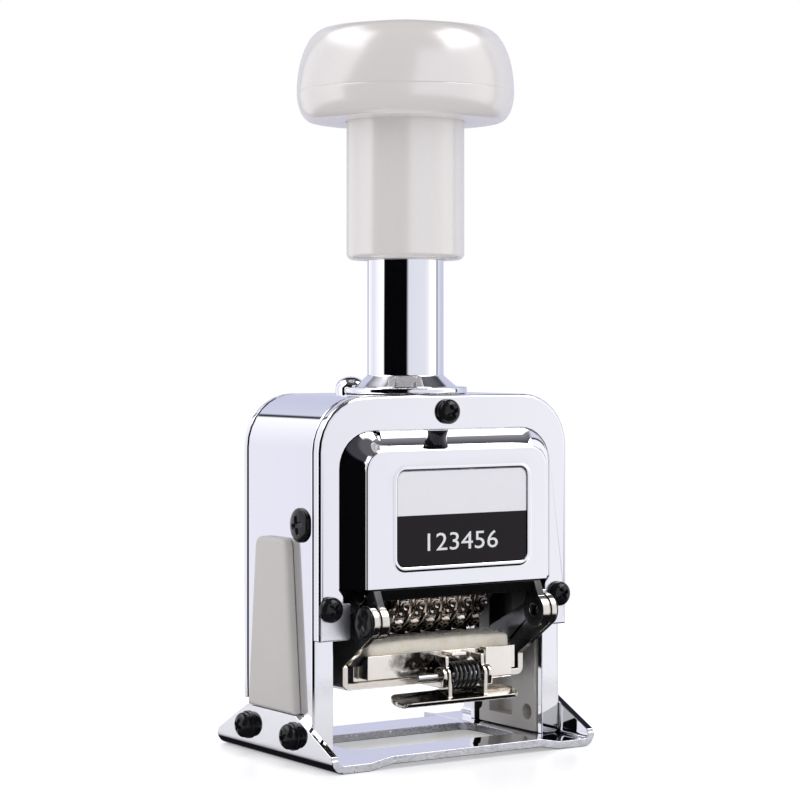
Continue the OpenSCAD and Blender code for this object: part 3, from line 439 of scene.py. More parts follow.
shearLook = {**chromeLook, "tone": (0.93, 0.93, 0.95), "toneTwo": (0.30, 0.31, 0.36), "rough": (0.06, 0.26),
             "patch": 900.0, "fine": 2600.0, "wave": 1500.0, "bump": 0.9, "depth": 0.00012, "hollowDark": 0.9}
shearedEdge = makeFinish("shearedEdge", shearLook)
baseLook = {"bevel": 0.16, "angle": 40, "segments": 2,
            "crease": lambda mid: abs(abs(mid.x) - 20) < 0.1 or abs(abs(mid.x) - 25.5) < 0.1,
            "paint": lambda c, n: 1 if abs(n.z) < 0.3 and (abs(n.y) > 0.4 or abs(c.x) < 23) else 0}
rounded("basePlate", "frame", "chrome", [chrome, shearedEdge], baseLook, "base_plate")
print("casing, plates and base rounded")


# Side inserts

# Painted shade: a near-black patch over the inner walls of the side inserts
paintedShadeTone = (0.008, 0.008, 0.009)
insideLook = {**sideLook, "blots": [((s * 30, 0, 66), (16, 45, 54), 0.5, 4.0, paintedShadeTone) for s in (-1, 1)]}
insidePlastic = makeFinish("insidePlastic", insideLook)
insertLook = {"bevel": 0.9, "angle": 40,
              "share": lambda mid, way: 1.0 if abs(mid.x) > 35.7 else 0.25,
              "paint": lambda c, n: 1 if abs(c.x) < 33.4 else 0}
for side in ("Left", "Right"):
    rounded("sideInsert" + side, "frame", "side_plastic", [sidePlastic, insidePlastic], insertLook,
            "side_insert_" + side.lower())
print("side inserts rounded")


# Front cover: a pressed sheet with a raised frame round the label

coverForm = {"half": 28.2, "top": 72.5, "foot": 38.6, "corner": 8.0, "back": -14.3, "plate": 2.6,
             "rise": 4.8, "draw": 4.3, "lip": 0.5, "sheet": 1.2, "steps": 22, "cornerSteps": 14,
             "arcFrom": 35.5, "arcTo": 61.5, "oilAt": (-18.9, -18.8, 67.5), "oilTilt": -30, "oilR": 1.3}
labelForm = {"width": 35.0, "height": 21.0, "corner": 2.0, "x": 1.0, "z": 53.5, "split": 54.2,
             "digits": "123456", "digitHigh": 3.9, "digitsWide": 19.0, "digitZ": 48.2}


def archLine(half, top, foot, corner, n):
    line = [(half, foot)] + arcPoints(half - corner, top - corner, corner, 0, 90, n)
    return line + arcPoints(corner - half, top - corner, corner, 90, 180, n) + [(-half, foot)]


def roundRect(width, height, corner, grow=0.0, n=8):
    w, h, r = width / 2 + grow, height / 2 + grow, corner + grow
    return (arcPoints(w - r, h - r, r, 0, 90, n) + arcPoints(r - w, h - r, r, 90, 180, n)
            + arcPoints(r - w, r - h, r, 180, 270, n) + arcPoints(w - r, r - h, r, 270, 360, n))


def bridge(bm, rings, closed=True):  # faces from each ring of corners to the next
    for a, b in zip(rings, rings[1:]):
        for k in range(len(a) if closed else len(a) - 1):
            j = (k + 1) % len(a)
            bm.faces.new((a[k], a[j], b[j], b[k]))


def makeCover():
    c = coverForm
    sweep, climb = c["draw"] - c["lip"], c["rise"] - c["lip"]
    rows = [(-2.3, 0.9), (0, 0.9), (0, 1.8)]
    a0, a1 = (math.radians(c[key]) for key in ("arcFrom", "arcTo"))
    for i in range(c["steps"] + 1):
        a = a0 + (a1 - a0) * i / c["steps"]
        rows.append((sweep * (math.sin(a) - math.sin(a0)) / (math.sin(a1) - math.sin(a0)),
                     c["plate"] + climb * (math.cos(a0) - math.cos(a)) / (math.cos(a0) - math.cos(a1))))
    for i in range(1, 9):
        a = math.pi / 2 * i / 8
        rows.append((sweep + c["lip"] * (1 - math.cos(a)), c["plate"] + climb + c["lip"] * math.sin(a)))
    rows.append((c["draw"] + 0.5, c["plate"] + c["rise"]))
    bm = bmesh.new()
    rings = []
    for inset, rise in rows:
        corner = max(c["corner"] - 0.9 * inset, 1.2)
        line = archLine(c["half"] - inset, c["top"] - inset, c["foot"], corner, c["cornerSteps"])
        rings.append([bm.verts.new((x, c["back"] - rise, z)) for x, z in line])
    bridge(bm, rings, closed=False)
    face = c["back"] - c["plate"] - c["rise"]
    frameRows = [(1.35, 0), (1.05, 0), (0.8, -0.14), (0.55, -0.2), (0.3, -0.16), (0.08, -0.04),
                 (0.0, 0.12), (0.0, 0.6)]
    frames = []
    for grow, step in frameRows:
        line = roundRect(labelForm["width"], labelForm["height"], labelForm["corner"], grow)
        frames.append([bm.verts.new((x + labelForm["x"], face + step, z + labelForm["z"])) for x, z in line])
    bridge(bm, frames)
    last = rings[-1]
    bm.edges.new((last[-1], last[0]))
    rims = [bm.edges.get(pair) for rim in (last, frames[0]) for pair in zip(rim, rim[1:] + rim[:1])]
    bmesh.ops.triangle_fill(bm, use_beauty=True, edges=rims, normal=(0, -1, 0))
    bmesh.ops.remove_doubles(bm, verts=bm.verts, dist=1e-4)
    bmesh.ops.recalc_face_normals(bm, faces=bm.faces)
    mid = min(bm.faces, key=lambda f: f.calc_center_median().y)
    if mid.normal.y > 0:
        bmesh.ops.reverse_faces(bm, faces=bm.faces)
    mesh = toMesh(bm, "frontCover")
    smoothFaces(mesh, 50)
    obj = stand("frontCover", mesh, [coverChrome, innerSteel])
    sheet = obj.modifiers.new("sheet", "SOLIDIFY")
    sheet.thickness = c["sheet"] * mm
    sheet.offset = -1
    sheet.material_offset = 1
    bm = bmesh.new()
    bmesh.ops.create_cone(bm, cap_ends=True, segments=40, radius1=c["oilR"], radius2=c["oilR"], depth=12,
                          matrix=Matrix.Translation(c["oilAt"])
                          @ Matrix.Rotation(math.radians(c["oilTilt"]), 4, "X")
                          @ Matrix.Translation((0, 0, 6.6)))
    drill = stand("oilDrill", toMesh(bm, "oilDrill"), [])
    cutWith(obj, drill, "MANIFOLD")
    bakeModifiers(obj)
    bpy.data.objects.remove(drill)
    obj.data.set_sharp_from_angle(angle=math.radians(50))
    keepFlat(obj)
    bakeModifiers(obj)
    return mount(obj, "frame", "cover_chrome", "front_cover")


makeCover()


def makeLabelFinish():
    mat, tree, shader = newMaterial("labelPlate")
    marks = useGroup(tree, handlingMarks, Patch_Scale=80.0, Fine_Scale=1500.0, Low=0.16, High=0.26)
    high = addNode(tree, "ShaderNodeSeparateXYZ", {0: placeOf(tree)}).outputs["Z"]
    edge = rangeNode(tree, high, *((labelForm["split"] + side) * mm for side in (-0.03, 0.03)))
    light = mixNode(tree, marks["Mask"], (0.83, 0.83, 0.87), (0.87, 0.87, 0.90))
    feed(tree, shader, {"Base Color": mixNode(tree, edge, (0.014, 0.012, 0.014), light),
                        "Roughness": marks["Roughness"], "Specular IOR Level": 0.12})
    return mat


def textMesh(text, deep):  # lies on the XY plane, its own units
    curve = bpy.data.curves.new("text", "FONT")
    curve.body = text
    curve.size = 1
    curve.resolution_u = 3
    curve.extrude = deep
    obj = bpy.data.objects.new("text", curve)
    scene.collection.objects.link(obj)
    mesh = bpy.data.meshes.new_from_object(obj.evaluated_get(bpy.context.evaluated_depsgraph_get()))
    bpy.data.objects.remove(obj)
    co = [v.co for v in mesh.vertices]
    low = Vector([min(c[i] for c in co) for i in range(3)])
    high = Vector([max(c[i] for c in co) for i in range(3)])
    return mesh, low, high


# The label plate with plain figures printed on its black field
def makeLabel():
    f = labelForm
    rounded("labelPlate", "frame", "label", [makeLabelFinish(), labelInk], {"bevel": 0.08, "segments": 2},
            "label_plate")
    obj = bpy.data.objects["labelPlate"]
    face = min(v.co.y for v in obj.data.vertices)
    mesh, low, high = textMesh(f["digits"], 0.005)
    bm = bmesh.new()
    bm.from_mesh(mesh)
    for v in bm.verts:
        x = ((v.co.x - low.x) / (high.x - low.x) - 0.5) * f["digitsWide"] + f["x"]
        z = (v.co.y - low.y) / (high.y - low.y) * f["digitHigh"] + f["digitZ"] - f["digitHigh"] / 2
        v.co = Vector((x * mm, face - (0.00002 if v.co.z > 0 else -0.00002), z * mm))
    for ink in bm.faces:
        ink.material_index = 1
    bmesh.ops.recalc_face_normals(bm, faces=bm.faces)
    bm.from_mesh(obj.data)
    bm.to_mesh(obj.data)
    bm.free()


labelInk = makeFinish("labelInk", {"tone": (0.82, 0.82, 0.84), "rough": (0.3, 0.4), "specular": 0.2})
makeLabel()
rounded("oilHoleBush", "frame", "steel", [steel], {"bevel": 0.12}, "oil_hole_bush")
print("cover and label made")


# Stem, knob and sleeve

rounded("stemTube", "frame", "chrome", [stemChrome], {"bevel": 0.22, "angle": 20}, "stem")
rounded("stemNut", "frame", "steel", [steel], {"bevel": 0.3}, "stem_nut")
rounded("lockButton", "lock_button", "chrome", [stemChrome], {"bevel": 0.25, "angle": 40}, "lock_button")

knobForm = {"z": 142.6, "bore": 8.8, "foot": 21.4, "belt": 24.9, "beltUp": 6.7, "high": 23.3,
            "socket": 9.0, "sleeve": 13.5, "roof": 153.0, "seam": 0.08, "slope": 0.155, "soft": 4.0,
            "shoulder": 18.2, "bulge": 2.0, "round": 2.0}
sleeveForm = {"z": 111.0, "top": 151.5, "r": 13.5, "bore": 8.8, "lip": 1.5}


def makeKnob():
    k = knobForm
    profile = [(k["sleeve"] + 0.05, k["z"] + k["socket"]), (k["sleeve"] + 0.05, k["z"] + 0.3),
               (k["sleeve"] + 0.35, k["z"])]
    profile += [(k["foot"] - 1.6, k["z"])]
    for i in range(0, 25):
        a = math.radians(90 * i / 24)
        z = k["z"] + k["beltUp"] * (1 - math.cos(a))
        r = k["foot"] + (k["belt"] - k["foot"]) * math.sin(a)
        if z < k["z"] + k["beltUp"] - 0.25:
            profile.append((r, z))
    belt = k["z"] + k["beltUp"]
    profile += [(k["belt"] - 0.01, belt - 0.14), (k["belt"] - k["seam"], belt),
                (k["belt"] - 0.01, belt + 0.14)]
    rise = k["high"] - k["beltUp"]

    def drop(r):  # a shallow crown on a rounded shoulder
        return k["slope"] * (math.hypot(r, k["soft"]) - k["soft"])

    crown = rise - drop(k["shoulder"])
    for i in range(1, 49):
        a = math.radians(90 * i / 48)
        z = belt + crown * math.sin(a) ** (2 / k["bulge"])
        r = k["shoulder"] + (k["belt"] - k["shoulder"]) * math.cos(a) ** (2 / k["round"])
        if z > belt + 0.2 and a < math.radians(84):
            profile.append((r, z))
    for i in range(0, 17):
        r = k["shoulder"] * (1 - i / 16) * 0.985
        profile.append((r, belt + rise - drop(r)))
    profile += [(0, k["roof"]), (k["bore"], k["roof"])]
    mesh = latheMesh("knob", profile, 160)
    smoothFaces(mesh, 38)
    obj = stand("knobCap", mesh, [knobPlastic])
    return mount(obj, "head", "knob_plastic", "knob")


def makeSleeve():
    s = sleeveForm
    profile = [(s["bore"], s["z"] + 0.4), (s["bore"] + 0.4, s["z"])]
    profile += arcPoints(s["r"] - s["lip"], s["z"] + s["lip"], s["lip"], 270, 360, 10)
    profile += [(s["r"], s["top"]), (s["bore"], s["top"])]
    mesh = latheMesh("knobSleeve", profile, 160)
    smoothFaces(mesh, 38)
    obj = stand("knobSleeve", mesh, [knobPlastic])
    return mount(obj, "head", "knob_plastic", "knob_sleeve")


makeKnob()
makeSleeve()
print("stem, knob and sleeve made")


# Geometry node helpers

def newTree(name, **sockets):
    tree = bpy.data.node_groups.new(name, "GeometryNodeTree")
    tree.interface.new_socket("Geometry", in_out="INPUT", socket_type="NodeSocketGeometry")
    tree.interface.new_socket("Geometry", in_out="OUTPUT", socket_type="NodeSocketGeometry")
    for label, kind in sockets.items():
        tree.interface.new_socket(label, in_out="INPUT", socket_type="NodeSocket" + kind)
    return tree, addNode(tree, "NodeGroupInput").outputs, addNode(tree, "NodeGroupOutput")


def closeTree(tree, start, end, geometry, join=False):  # join keeps what came in beside it
    shape = addNode(tree, "GeometryNodeRealizeInstances", {"Geometry": geometry}).outputs[0]
    if join:
        both = addNode(tree, "GeometryNodeJoinGeometry", {"Geometry": start["Geometry"]})
        shape = feed(tree, both, {"Geometry": shape}).outputs[0]
    dye = addNode(tree, "GeometryNodeSetMaterial", {"Geometry": shape, "Material": start["Material"]})
    feed(tree, end, {"Geometry": dye.outputs[0]})
    return tree


def runTree(obj, tree, values):
    mod = obj.modifiers.new(tree.name, "NODES")
    mod.node_group = tree
    for item in tree.interface.items_tree:
        if item.item_type == "SOCKET" and item.in_out == "INPUT" and item.name in values:
            mod[item.identifier] = values[item.name]
    return bakeModifiers(obj)


# Sets a piece on every point, aimed along the point's normal and turned by its spin
def makeSetTree():
    tree, start, end = newTree("pieceSet", Piece="Object", Material="Material", Size="Vector")
    piece = addNode(tree, "GeometryNodeObjectInfo", {"Object": start["Piece"]})
    aim = addNode(tree, "GeometryNodeInputNamedAttribute", {"Name": "aim"}, data_type="FLOAT_VECTOR")
    spin = addNode(tree, "GeometryNodeInputNamedAttribute", {"Name": "spin"}, data_type="FLOAT")
    align = addNode(tree, "FunctionNodeAlignRotationToVector", {"Vector": aim.outputs["Attribute"]}, axis="Z")
    turn = addNode(tree, "FunctionNodeAxisAngleToRotation", {"Axis": (0, 0, 1),
                                                             "Angle": spin.outputs["Attribute"]})
    both = {"Rotation": align.outputs["Rotation"], "Rotate By": turn.outputs["Rotation"]}
    rotate = addNode(tree, "FunctionNodeRotateRotation", both, rotation_space="LOCAL")
    put = addNode(tree, "GeometryNodeInstanceOnPoints", {
        "Points": start["Geometry"], "Instance": piece.outputs["Geometry"],
        "Rotation": rotate.outputs["Rotation"], "Scale": start["Size"]})
    return closeTree(tree, start, end, put.outputs["Instances"])


setTree = makeSetTree()


def pointCloud(name, places):
    mesh = bpy.data.meshes.new(name)
    mesh.from_pydata([Vector(p[0]) * mm for p in places], [], [])
    mesh.attributes.new("aim", "FLOAT_VECTOR", "POINT")
    mesh.attributes.new("spin", "FLOAT", "POINT")
    for i, (at, way, turn) in enumerate(places):
        mesh.attributes["aim"].data[i].vector = way
        mesh.attributes["spin"].data[i].value = math.radians(turn)
    return mesh


def makeSet(name, source, places, material, size=(1, 1, 1)):
    obj = stand(name, pointCloud(name, places), [])
    runTree(obj, setTree, {"Piece": source, "Material": material, "Size": size})
    return obj


# Screws and washers

screwForm = {"r": 2.8, "h": 2.4, "side": 0.3, "crossLong": 3.7, "crossWide": 0.92, "crossDeep": 1.25,
             "shank": 1.45, "length": 3.0}
washerForm = {"r": 3.1, "hole": 1.55, "t": 0.6}


def makeScrew():
    s = screwForm
    crown = [(s["r"] * math.cos(math.radians(a)),
              s["h"] * (s["side"] + (1 - s["side"]) * math.sin(math.radians(a))))
             for a in range(0, 91, 9)]
    crown[-1] = (0, s["h"])
    profile = [(0, -s["length"]), (s["shank"], -s["length"]), (s["shank"], 0),
               (s["r"] - 0.15, 0), (s["r"], 0.15)]
    mesh = latheMesh("screw", profile + crown, 48)
    obj = stand("screw", mesh, [])
    cut = bmesh.new()
    for turn in (0, 90):
        box = bmesh.ops.create_cube(cut, size=1)["verts"]
        for v in box:
            top = v.co.z > 0
            v.co.x *= s["crossLong"] * (1.06 if top else 0.55)
            v.co.y *= s["crossWide"] * (1.15 if top else 0.7)
            v.co.z = s["h"] + 0.3 if top else s["h"] - s["crossDeep"]
        bmesh.ops.rotate(cut, verts=box, cent=(0, 0, 0), matrix=Matrix.Rotation(math.radians(turn), 3, "Z"))
    cutter = stand("screwCut", toMesh(cut, "screwCut"), [])
    cutWith(obj, cutter, "EXACT").use_self = True
    soft = obj.modifiers.new("soft", "BEVEL")
    soft.width = 0.1 * mm
    soft.segments = 2
    soft.angle_limit = math.radians(40)
    soft.use_clamp_overlap = True
    bakeModifiers(obj)
    smoothFaces(obj.data, 42)
    bpy.data.objects.remove(cutter)
    return obj


def makeWasher():
    w = washerForm
    profile = [(w["hole"], 0), (w["r"] - 0.1, 0), (w["r"], 0.1), (w["r"], w["t"] - 0.14),
               (w["r"] - 0.14, w["t"]), (w["hole"], w["t"])]
    mesh = latheMesh("washer", profile, 56)
    smoothFaces(mesh, 35)
    return stand("washer", mesh, [])


screw = makeScrew()
washer = makeWasher()
frontSpots = [(0.0, 76.7, 18), (-30.9, 34.3, 52), (30.9, 34.3, 30)]
backSpots = [(-18.0, 76.7, 70), (0.0, 76.7, 12), (18.0, 76.7, 48)]
flangeSpots = [(-1, -9.0, 20), (-1, 10.6, 66), (1, -9.0, 40), (1, 10.6, 5)]
flangeOut, legZ = 35.32, 6.3
caseSpots = [((x, -16.9, z), (0, -1, 0), t) for x, z, t in frontSpots]
caseSpots += [((x, 15.9, z), (0, 1, 0), t) for x, z, t in backSpots]
caseSpots += [((s * (flangeOut + 0.6), y, legZ), (s, 0, 0), t) for s, y, t in flangeSpots]
mount(makeSet("caseScrews", screw, caseSpots, screwBlack), "frame", "black_screw",
      "front_plate_screws", "back_plate_screws", "base_screws")
sideSpots = [((s * 33.5, -9.2, 52.2), (s, 0, 0), t) for s, t in ((-1, 12), (1, 25))]
mount(makeSet("sideScrews", screw, sideSpots, screwBlack, (3.8 / 2.8, 3.8 / 2.8, 0.55)),
      "frame", "black_screw", "side_screws")
washerSpots = [((s * flangeOut, y, legZ), (s, 0, 0), 0) for s, y, t in flangeSpots]
mount(makeSet("baseWashers", washer, washerSpots, screwBlack), "frame", "black_screw", "base_washers")
pivotSpots = [((s * 24.7, -21.3, 31.45), (s, 0, 0), t) for s, t in ((-1, 40), (1, 75))]
mount(makeSet("padPivotScrews", screw, pivotSpots, screwBlack, (1.25, 1.25, 0.375)),
      "frame", "black_screw", "pad_pivot_screws")
bpy.data.objects.remove(screw)
bpy.data.objects.remove(washer)
print("screws and washers set")


# Printing head and feed

headPieces = {
    "headYoke": ("head_yoke", "head", "nickel", nickel, 0.25),
    "headCheekLeft": ("head_cheek_left", "head", "nickel", nickel, 0.2),
    "headCheekRight": ("head_cheek_right", "head", "nickel", nickel, 0.2),
    "cheekScrews": ("cheek_screws", "head", "dark_steel", darkSteel, 0.15),
    "wheelAxle": ("wheel_axle", "head", "steel", steel, 0.12),
    "axleClips": ("axle_clips", "head", "dark_steel", darkSteel, 0.08),
    "headTieRods": ("head_tie_rods", "head", "steel", steel, 0.12),
    "detentComb": ("detent_comb", "head", "dark_steel", darkSteel, 0.06),
    "plungerRod": ("plunger_rod", "head", "steel", steel, 0.2),
    "feedRocker": ("feed_rocker", "feed_rocker", "dark_steel", darkSteel, 0.15),
    "feedPawl": ("feed_pawl", "feed_rocker", "dark_steel", darkSteel, 0.06)}
for name, (cadNode, body, slotName, finish, edge) in headPieces.items():
    rounded(name, body, slotName, [finish], {"bevel": edge, "segments": 2}, cadNode)
coat = nodes["return_spring"].data.materials  # this spring changes its length with the plunger
coat.clear()
coat.append(springWire)
print("head and feed rounded")


# Number wheels: a drum with ratchet teeth, and ten raised figures set round it

wheelForm = {"count": 6, "pitch": 4.2, "start": 0.05, "y": -7.5, "z": 35.8, "drum": 8.1, "wide": 3.2,
             "rim": 0.35, "bore": 2.05, "ratchet": 7.0, "tooth": 1.3, "typeTop": 9.4, "bed": 8.65,
             "figureHigh": 3.3, "figureWide": 1.9, "bedWide": 2.1}


def makeFigure(digit):  # mirrored, as type is; outward is +X and the figure's width lies along Z
    w = wheelForm
    mesh, low, high = textMesh(str(digit), 0.5)
    wide = min(w["figureWide"], w["figureHigh"] * (high.x - low.x) / (high.y - low.y))
    root, top = w["bed"] - 0.25, w["typeTop"] - 0.05
    for v in mesh.vertices:
        across = -((v.co.x - low.x) / (high.x - low.x) - 0.5) * wide
        up = ((v.co.y - low.y) / (high.y - low.y) - 0.5) * w["figureHigh"]
        out = top if v.co.z > 0 else root
        out = math.sqrt(out * out - up * up * (0.9 if v.co.z > 0 else 0))
        v.co = Vector((out, up, across)) * mm
    bm = bmesh.new()
    for v in bmesh.ops.create_cube(bm, size=1)["verts"]:  # the bed that the figure stands on
        high = v.co.x > 0
        v.co = Vector((w["bed"] if high else w["drum"] - 0.9, v.co.y * (3.7 if high else 4.3),
                       v.co.z * (w["bedWide"] if high else w["bedWide"] + 0.3))) * mm
    bmesh.ops.bevel(bm, geom=bm.edges[:], offset=0.16 * mm, segments=2, profile=0.6, affect="EDGES")
    bm.from_mesh(mesh)
    bmesh.ops.remove_doubles(bm, verts=bm.verts, dist=1e-7)
    bmesh.ops.recalc_face_normals(bm, faces=bm.faces)
    bm.to_mesh(mesh)
    bm.free()
    obj = stand("figure%d" % digit, mesh, [])
    smoothFaces(mesh, 40)
    return obj


def makeDrum(index):
    w = wheelForm
    x0 = (index - w["count"] / 2) * w["pitch"] + w["start"]
    rim, wide = w["rim"], w["wide"]
    side = [(w["bore"], 0), (w["ratchet"] - 1.2, 0), (w["ratchet"] - 1.2, 0.25), (w["drum"] - 0.9, 0.25),
            (w["drum"] - 0.9, 0), (w["drum"] - 0.15, 0), (w["drum"], 0.15), (w["drum"], rim),
            (w["drum"] - 0.35, rim + 0.2), (w["drum"] - 0.35, wide - rim - 0.2), (w["drum"], wide - rim),
            (w["drum"], wide - 0.15), (w["drum"] - 0.15, wide), (w["bore"], wide)]
    mesh = latheMesh("drum", side, 80)
    bm = bmesh.new()
    bm.from_mesh(mesh)
    count = 10
    teeth = []
    for k in range(count):
        for r, turn in ((w["ratchet"], 0), (w["ratchet"] - w["tooth"], 3)):
            a = math.radians(360 / count * k + turn)
            teeth.append((r * math.cos(a), r * math.sin(a)))
    low, high = wide * mm, (w["pitch"] - 0.12) * mm
    base = [bm.verts.new((x * mm, y * mm, low - 0.0002)) for x, y in teeth]
    lid = [bm.verts.new((x * mm, y * mm, high)) for x, y in teeth]
    bridge(bm, [base, lid])
    bm.faces.new(lid)
    bm.faces.new(base[::-1])
    bmesh.ops.rotate(bm, verts=bm.verts, cent=(0, 0, 0),
                     matrix=Euler((math.pi / 2, 0, math.pi / 2)).to_matrix())
    bmesh.ops.translate(bm, verts=bm.verts, vec=Vector((x0, w["y"], w["z"])) * mm)
    bm.to_mesh(mesh)
    bm.free()
    smoothFaces(mesh, 30)
    return mesh, x0


def makeWheelTree():
    tree, start, end = newTree("figureRing", Figures="Collection", Count="Int", Centre="Vector",
                               Material="Material")
    ring = addNode(tree, "GeometryNodePoints", {"Count": start["Count"]})
    index = addNode(tree, "GeometryNodeInputIndex").outputs[0]
    step = mathNode(tree, "DIVIDE", 2 * math.pi, start["Count"])
    half = mathNode(tree, "MULTIPLY_ADD", index, step, mathNode(tree, "MULTIPLY", step, 0.5))
    turn = addNode(tree, "ShaderNodeCombineXYZ", {"Z": half})
    kinds = addNode(tree, "GeometryNodeCollectionInfo", {
        "Collection": start["Figures"], "Separate Children": True, "Reset Children": True})
    put = addNode(tree, "GeometryNodeInstanceOnPoints", {
        "Points": ring.outputs[0], "Instance": kinds.outputs["Instances"], "Pick Instance": True,
        "Instance Index": index, "Rotation": turn.outputs[0]})
    place = addNode(tree, "GeometryNodeTransform", {
        "Geometry": put.outputs["Instances"], "Translation": start["Centre"],
        "Rotation": (math.pi / 2, 0, math.pi / 2)})
    return closeTree(tree, start, end, place.outputs["Geometry"], True)


# Painted light on the number wheels: the bright edge tone is a painted highlight on figures and beds, and the
# two dark patches are painted shade over the right-hand wheels and over the band just above the felt
typeLook = {**nickelLook, "tone": (0.88, 0.79, 0.69), "toneTwo": (0.55, 0.43, 0.35), "rough": (0.08, 0.26),
            "patch": 420.0, "hollowDark": 1.0, "hollowTone": (0.02, 0.014, 0.010), "wearAndShineTone": (0.97, 0.94, 0.89),
            "wearAndShine": 1.0, "spread": 0.03,
            "blots": [((16, -8, 34), (13, 20, 16), 0.8, 1.6, (0.02, 0.018, 0.017)),
                      ((0, -8, 24), (40, 30, 6.8), 1.2, 3.0, (0.02, 0.016, 0.014))]}
typeMetal = makeFinish("typeMetal", typeLook)


def makeWheels():
    figures = bpy.data.collections.new("figures")
    made = [makeFigure(d) for d in range(10)]
    for obj in made:
        figures.objects.link(obj)
    tree = makeWheelTree()
    for i in range(wheelForm["count"]):
        mesh, x0 = makeDrum(i)
        obj = stand("numberWheel%d" % (i + 1), mesh, [])
        centre = Vector((x0 + wheelForm["wide"] / 2, wheelForm["y"], wheelForm["z"])) * mm
        runTree(obj, tree, {"Figures": figures, "Count": 10, "Centre": centre, "Material": typeMetal})
        mount(obj, "wheel_%d" % (i + 1), "nickel", "number_wheel_%d" % (i + 1))
    for obj in made:
        bpy.data.objects.remove(obj)
    bpy.data.collections.remove(figures)


makeWheels()
print("number wheels made")


# Pad hanger, carrier, tray and clip

# Painted shade: a near-black finish on the faces of the chrome hanger, the nickel carrier arms and the clip
# lever that lie in shade under the cover and beside the legs
underCoverShadeLook = {**darkSteelLook, "tone": (0.03, 0.029, 0.031), "toneTwo": (0.012, 0.012, 0.013),
            "rough": (0.10, 0.25), "metal": 0.8, "wearAndShineTone": (0.25, 0.25, 0.26)}
chinBlack = makeFinish("chinBlack", underCoverShadeLook)
hangerLook = {"bevel": 0.2,
              "paint": lambda c, n: 0 if abs(n.x) < 0.5 and c.z < 34.8 and abs(c.x) > 20 else 1}
rounded("padHanger", "frame", "chrome", [nickel, chinBlack], hangerLook, "pad_hanger")
rounded("padPivotWashers", "frame", "nickel", [nickel], {"bevel": 0.12}, "pad_pivot_washers")
armLook = {"bevel": 0.2,
           "early": (lambda mid, way: abs(mid.x) > 24.3 and mid.z < 15.7 and abs(way.y) > 0.9, 1.8),
           "paint": lambda c, n: 1 if abs(n.x) > 0.9 and abs(c.x) > 23 else 0}
rounded("padCarrier", "pad_carrier", "nickel", [nickel, chinBlack], armLook, "pad_carrier")
# The two dark patches on the tray's front wall are a painted reflection of the clip spring and lever
trayLook = {**nickelLook, "tone": (0.93, 0.88, 0.80), "toneTwo": (0.86, 0.80, 0.71), "rough": (0.10, 0.22),
            "blots": [((-7.2, -15.1, 21.4), (8.0, 3, 4.2), 1.7, 1.4, (0.012, 0.010, 0.009)),
                      ((0.5, -15.1, 19.5), (6.0, 3, 3.0), 1.2, 2.2, (0.02, 0.016, 0.014))]}
trayNickel = makeFinish("trayNickel", trayLook)
rounded("padTray", "pad_carrier", "nickel", [trayNickel], {"bevel": 0.18}, "pad_tray")
rounded("clipPin", "pad_carrier", "steel", [steel], {"bevel": 0.15}, "clip_pin")
leverLook = {"bevel": 0.22, "paint": lambda c, n: 1 if n.z > 0.6 and c.x < -2 and c.z < 16 else 0}
rounded("clipLever", "clip_lever", "nickel", [nickel, chinBlack], leverLook, "clip_lever")

coilForm = {"turns": 6.0, "r": 2.75, "wire": 0.9, "from": -1.0, "to": 6.1, "y": -18.8, "z": 17.95}


def makeCoilTree():
    tree, start, end = newTree("coilWire", Turns="Float", Radius="Float", Wire="Float", Length="Float",
                               Place="Vector", Material="Material")
    line = addNode(tree, "GeometryNodeCurveSpiral", {
        "Resolution": 36, "Rotations": start["Turns"], "Start Radius": start["Radius"],
        "End Radius": start["Radius"], "Height": start["Length"]})
    ring = addNode(tree, "GeometryNodeCurvePrimitiveCircle", {"Resolution": 12, "Radius": start["Wire"]})
    tube = addNode(tree, "GeometryNodeCurveToMesh", {
        "Curve": line.outputs["Curve"], "Profile Curve": ring.outputs["Curve"], "Fill Caps": True})
    place = addNode(tree, "GeometryNodeTransform", {
        "Geometry": tube.outputs["Mesh"], "Translation": start["Place"], "Rotation": (0, math.pi / 2, 0)})
    return closeTree(tree, start, end, place.outputs["Geometry"])


def makeClipSpring():
    c = coilForm
    obj = stand("clipSpring", bpy.data.meshes.new("clipSpring"), [])
    runTree(obj, makeCoilTree(), {
        "Turns": c["turns"], "Radius": c["r"] * mm, "Wire": c["wire"] / 2 * mm,
        "Length": (c["to"] - c["from"]) * mm, "Place": Vector((c["from"], c["y"], c["z"])) * mm,
        "Material": springBlack})
    bm = bmesh.new()
    bm.from_mesh(obj.data)
    bmesh.ops.recalc_face_normals(bm, faces=bm.faces)
    bm.to_mesh(obj.data)
    bm.free()
    smoothFaces(obj.data, 50)
    mount(obj, "pad_carrier", "spring_black", "clip_spring")


makeClipSpring()
print("pad hanger, carrier, tray and clip made")


# Felt pad: a crowned block with loose fibres

feltForm = {"half": 19.1, "front": -14.2, "back": -1.6, "low": 18.75, "top": 26.05, "corner": 1.3,
            "crown": 0.35, "lump": 0.36, "fibres": 5200, "fibreLong": 1.1,
            "skin": 2 * 38.2 * 12.6e-6 + 2 * 38.2 * 7.3e-6}


def makeFeltFinish():
    mat, tree, shader = newMaterial("feltPad")
    clumps = noiseNode(tree, placeOf(tree), 420.0, 5, 0.65)
    fibres = noiseNode(tree, placeOf(tree), 2600.0, 3, 0.7)
    both = mathNode(tree, "MULTIPLY_ADD", fibres, 0.45, mathNode(tree, "MULTIPLY", clumps, 0.55))
    tone = rampNode(tree, both, [(0.28, (0.72, 0.63, 0.47)), (0.42, (0.95, 0.88, 0.73)),
                                 (0.58, (0.99, 0.95, 0.86))])
    feed(tree, shader, {"Base Color": tone, "Roughness": rangeNode(tree, fibres, 0.0, 1.0, 0.8, 1.0),
                        "Specular IOR Level": 0.1, "Sheen Weight": 0.3,
                        "Normal": bumpNode(tree, both, 0.8, 0.0002)})
    return mat


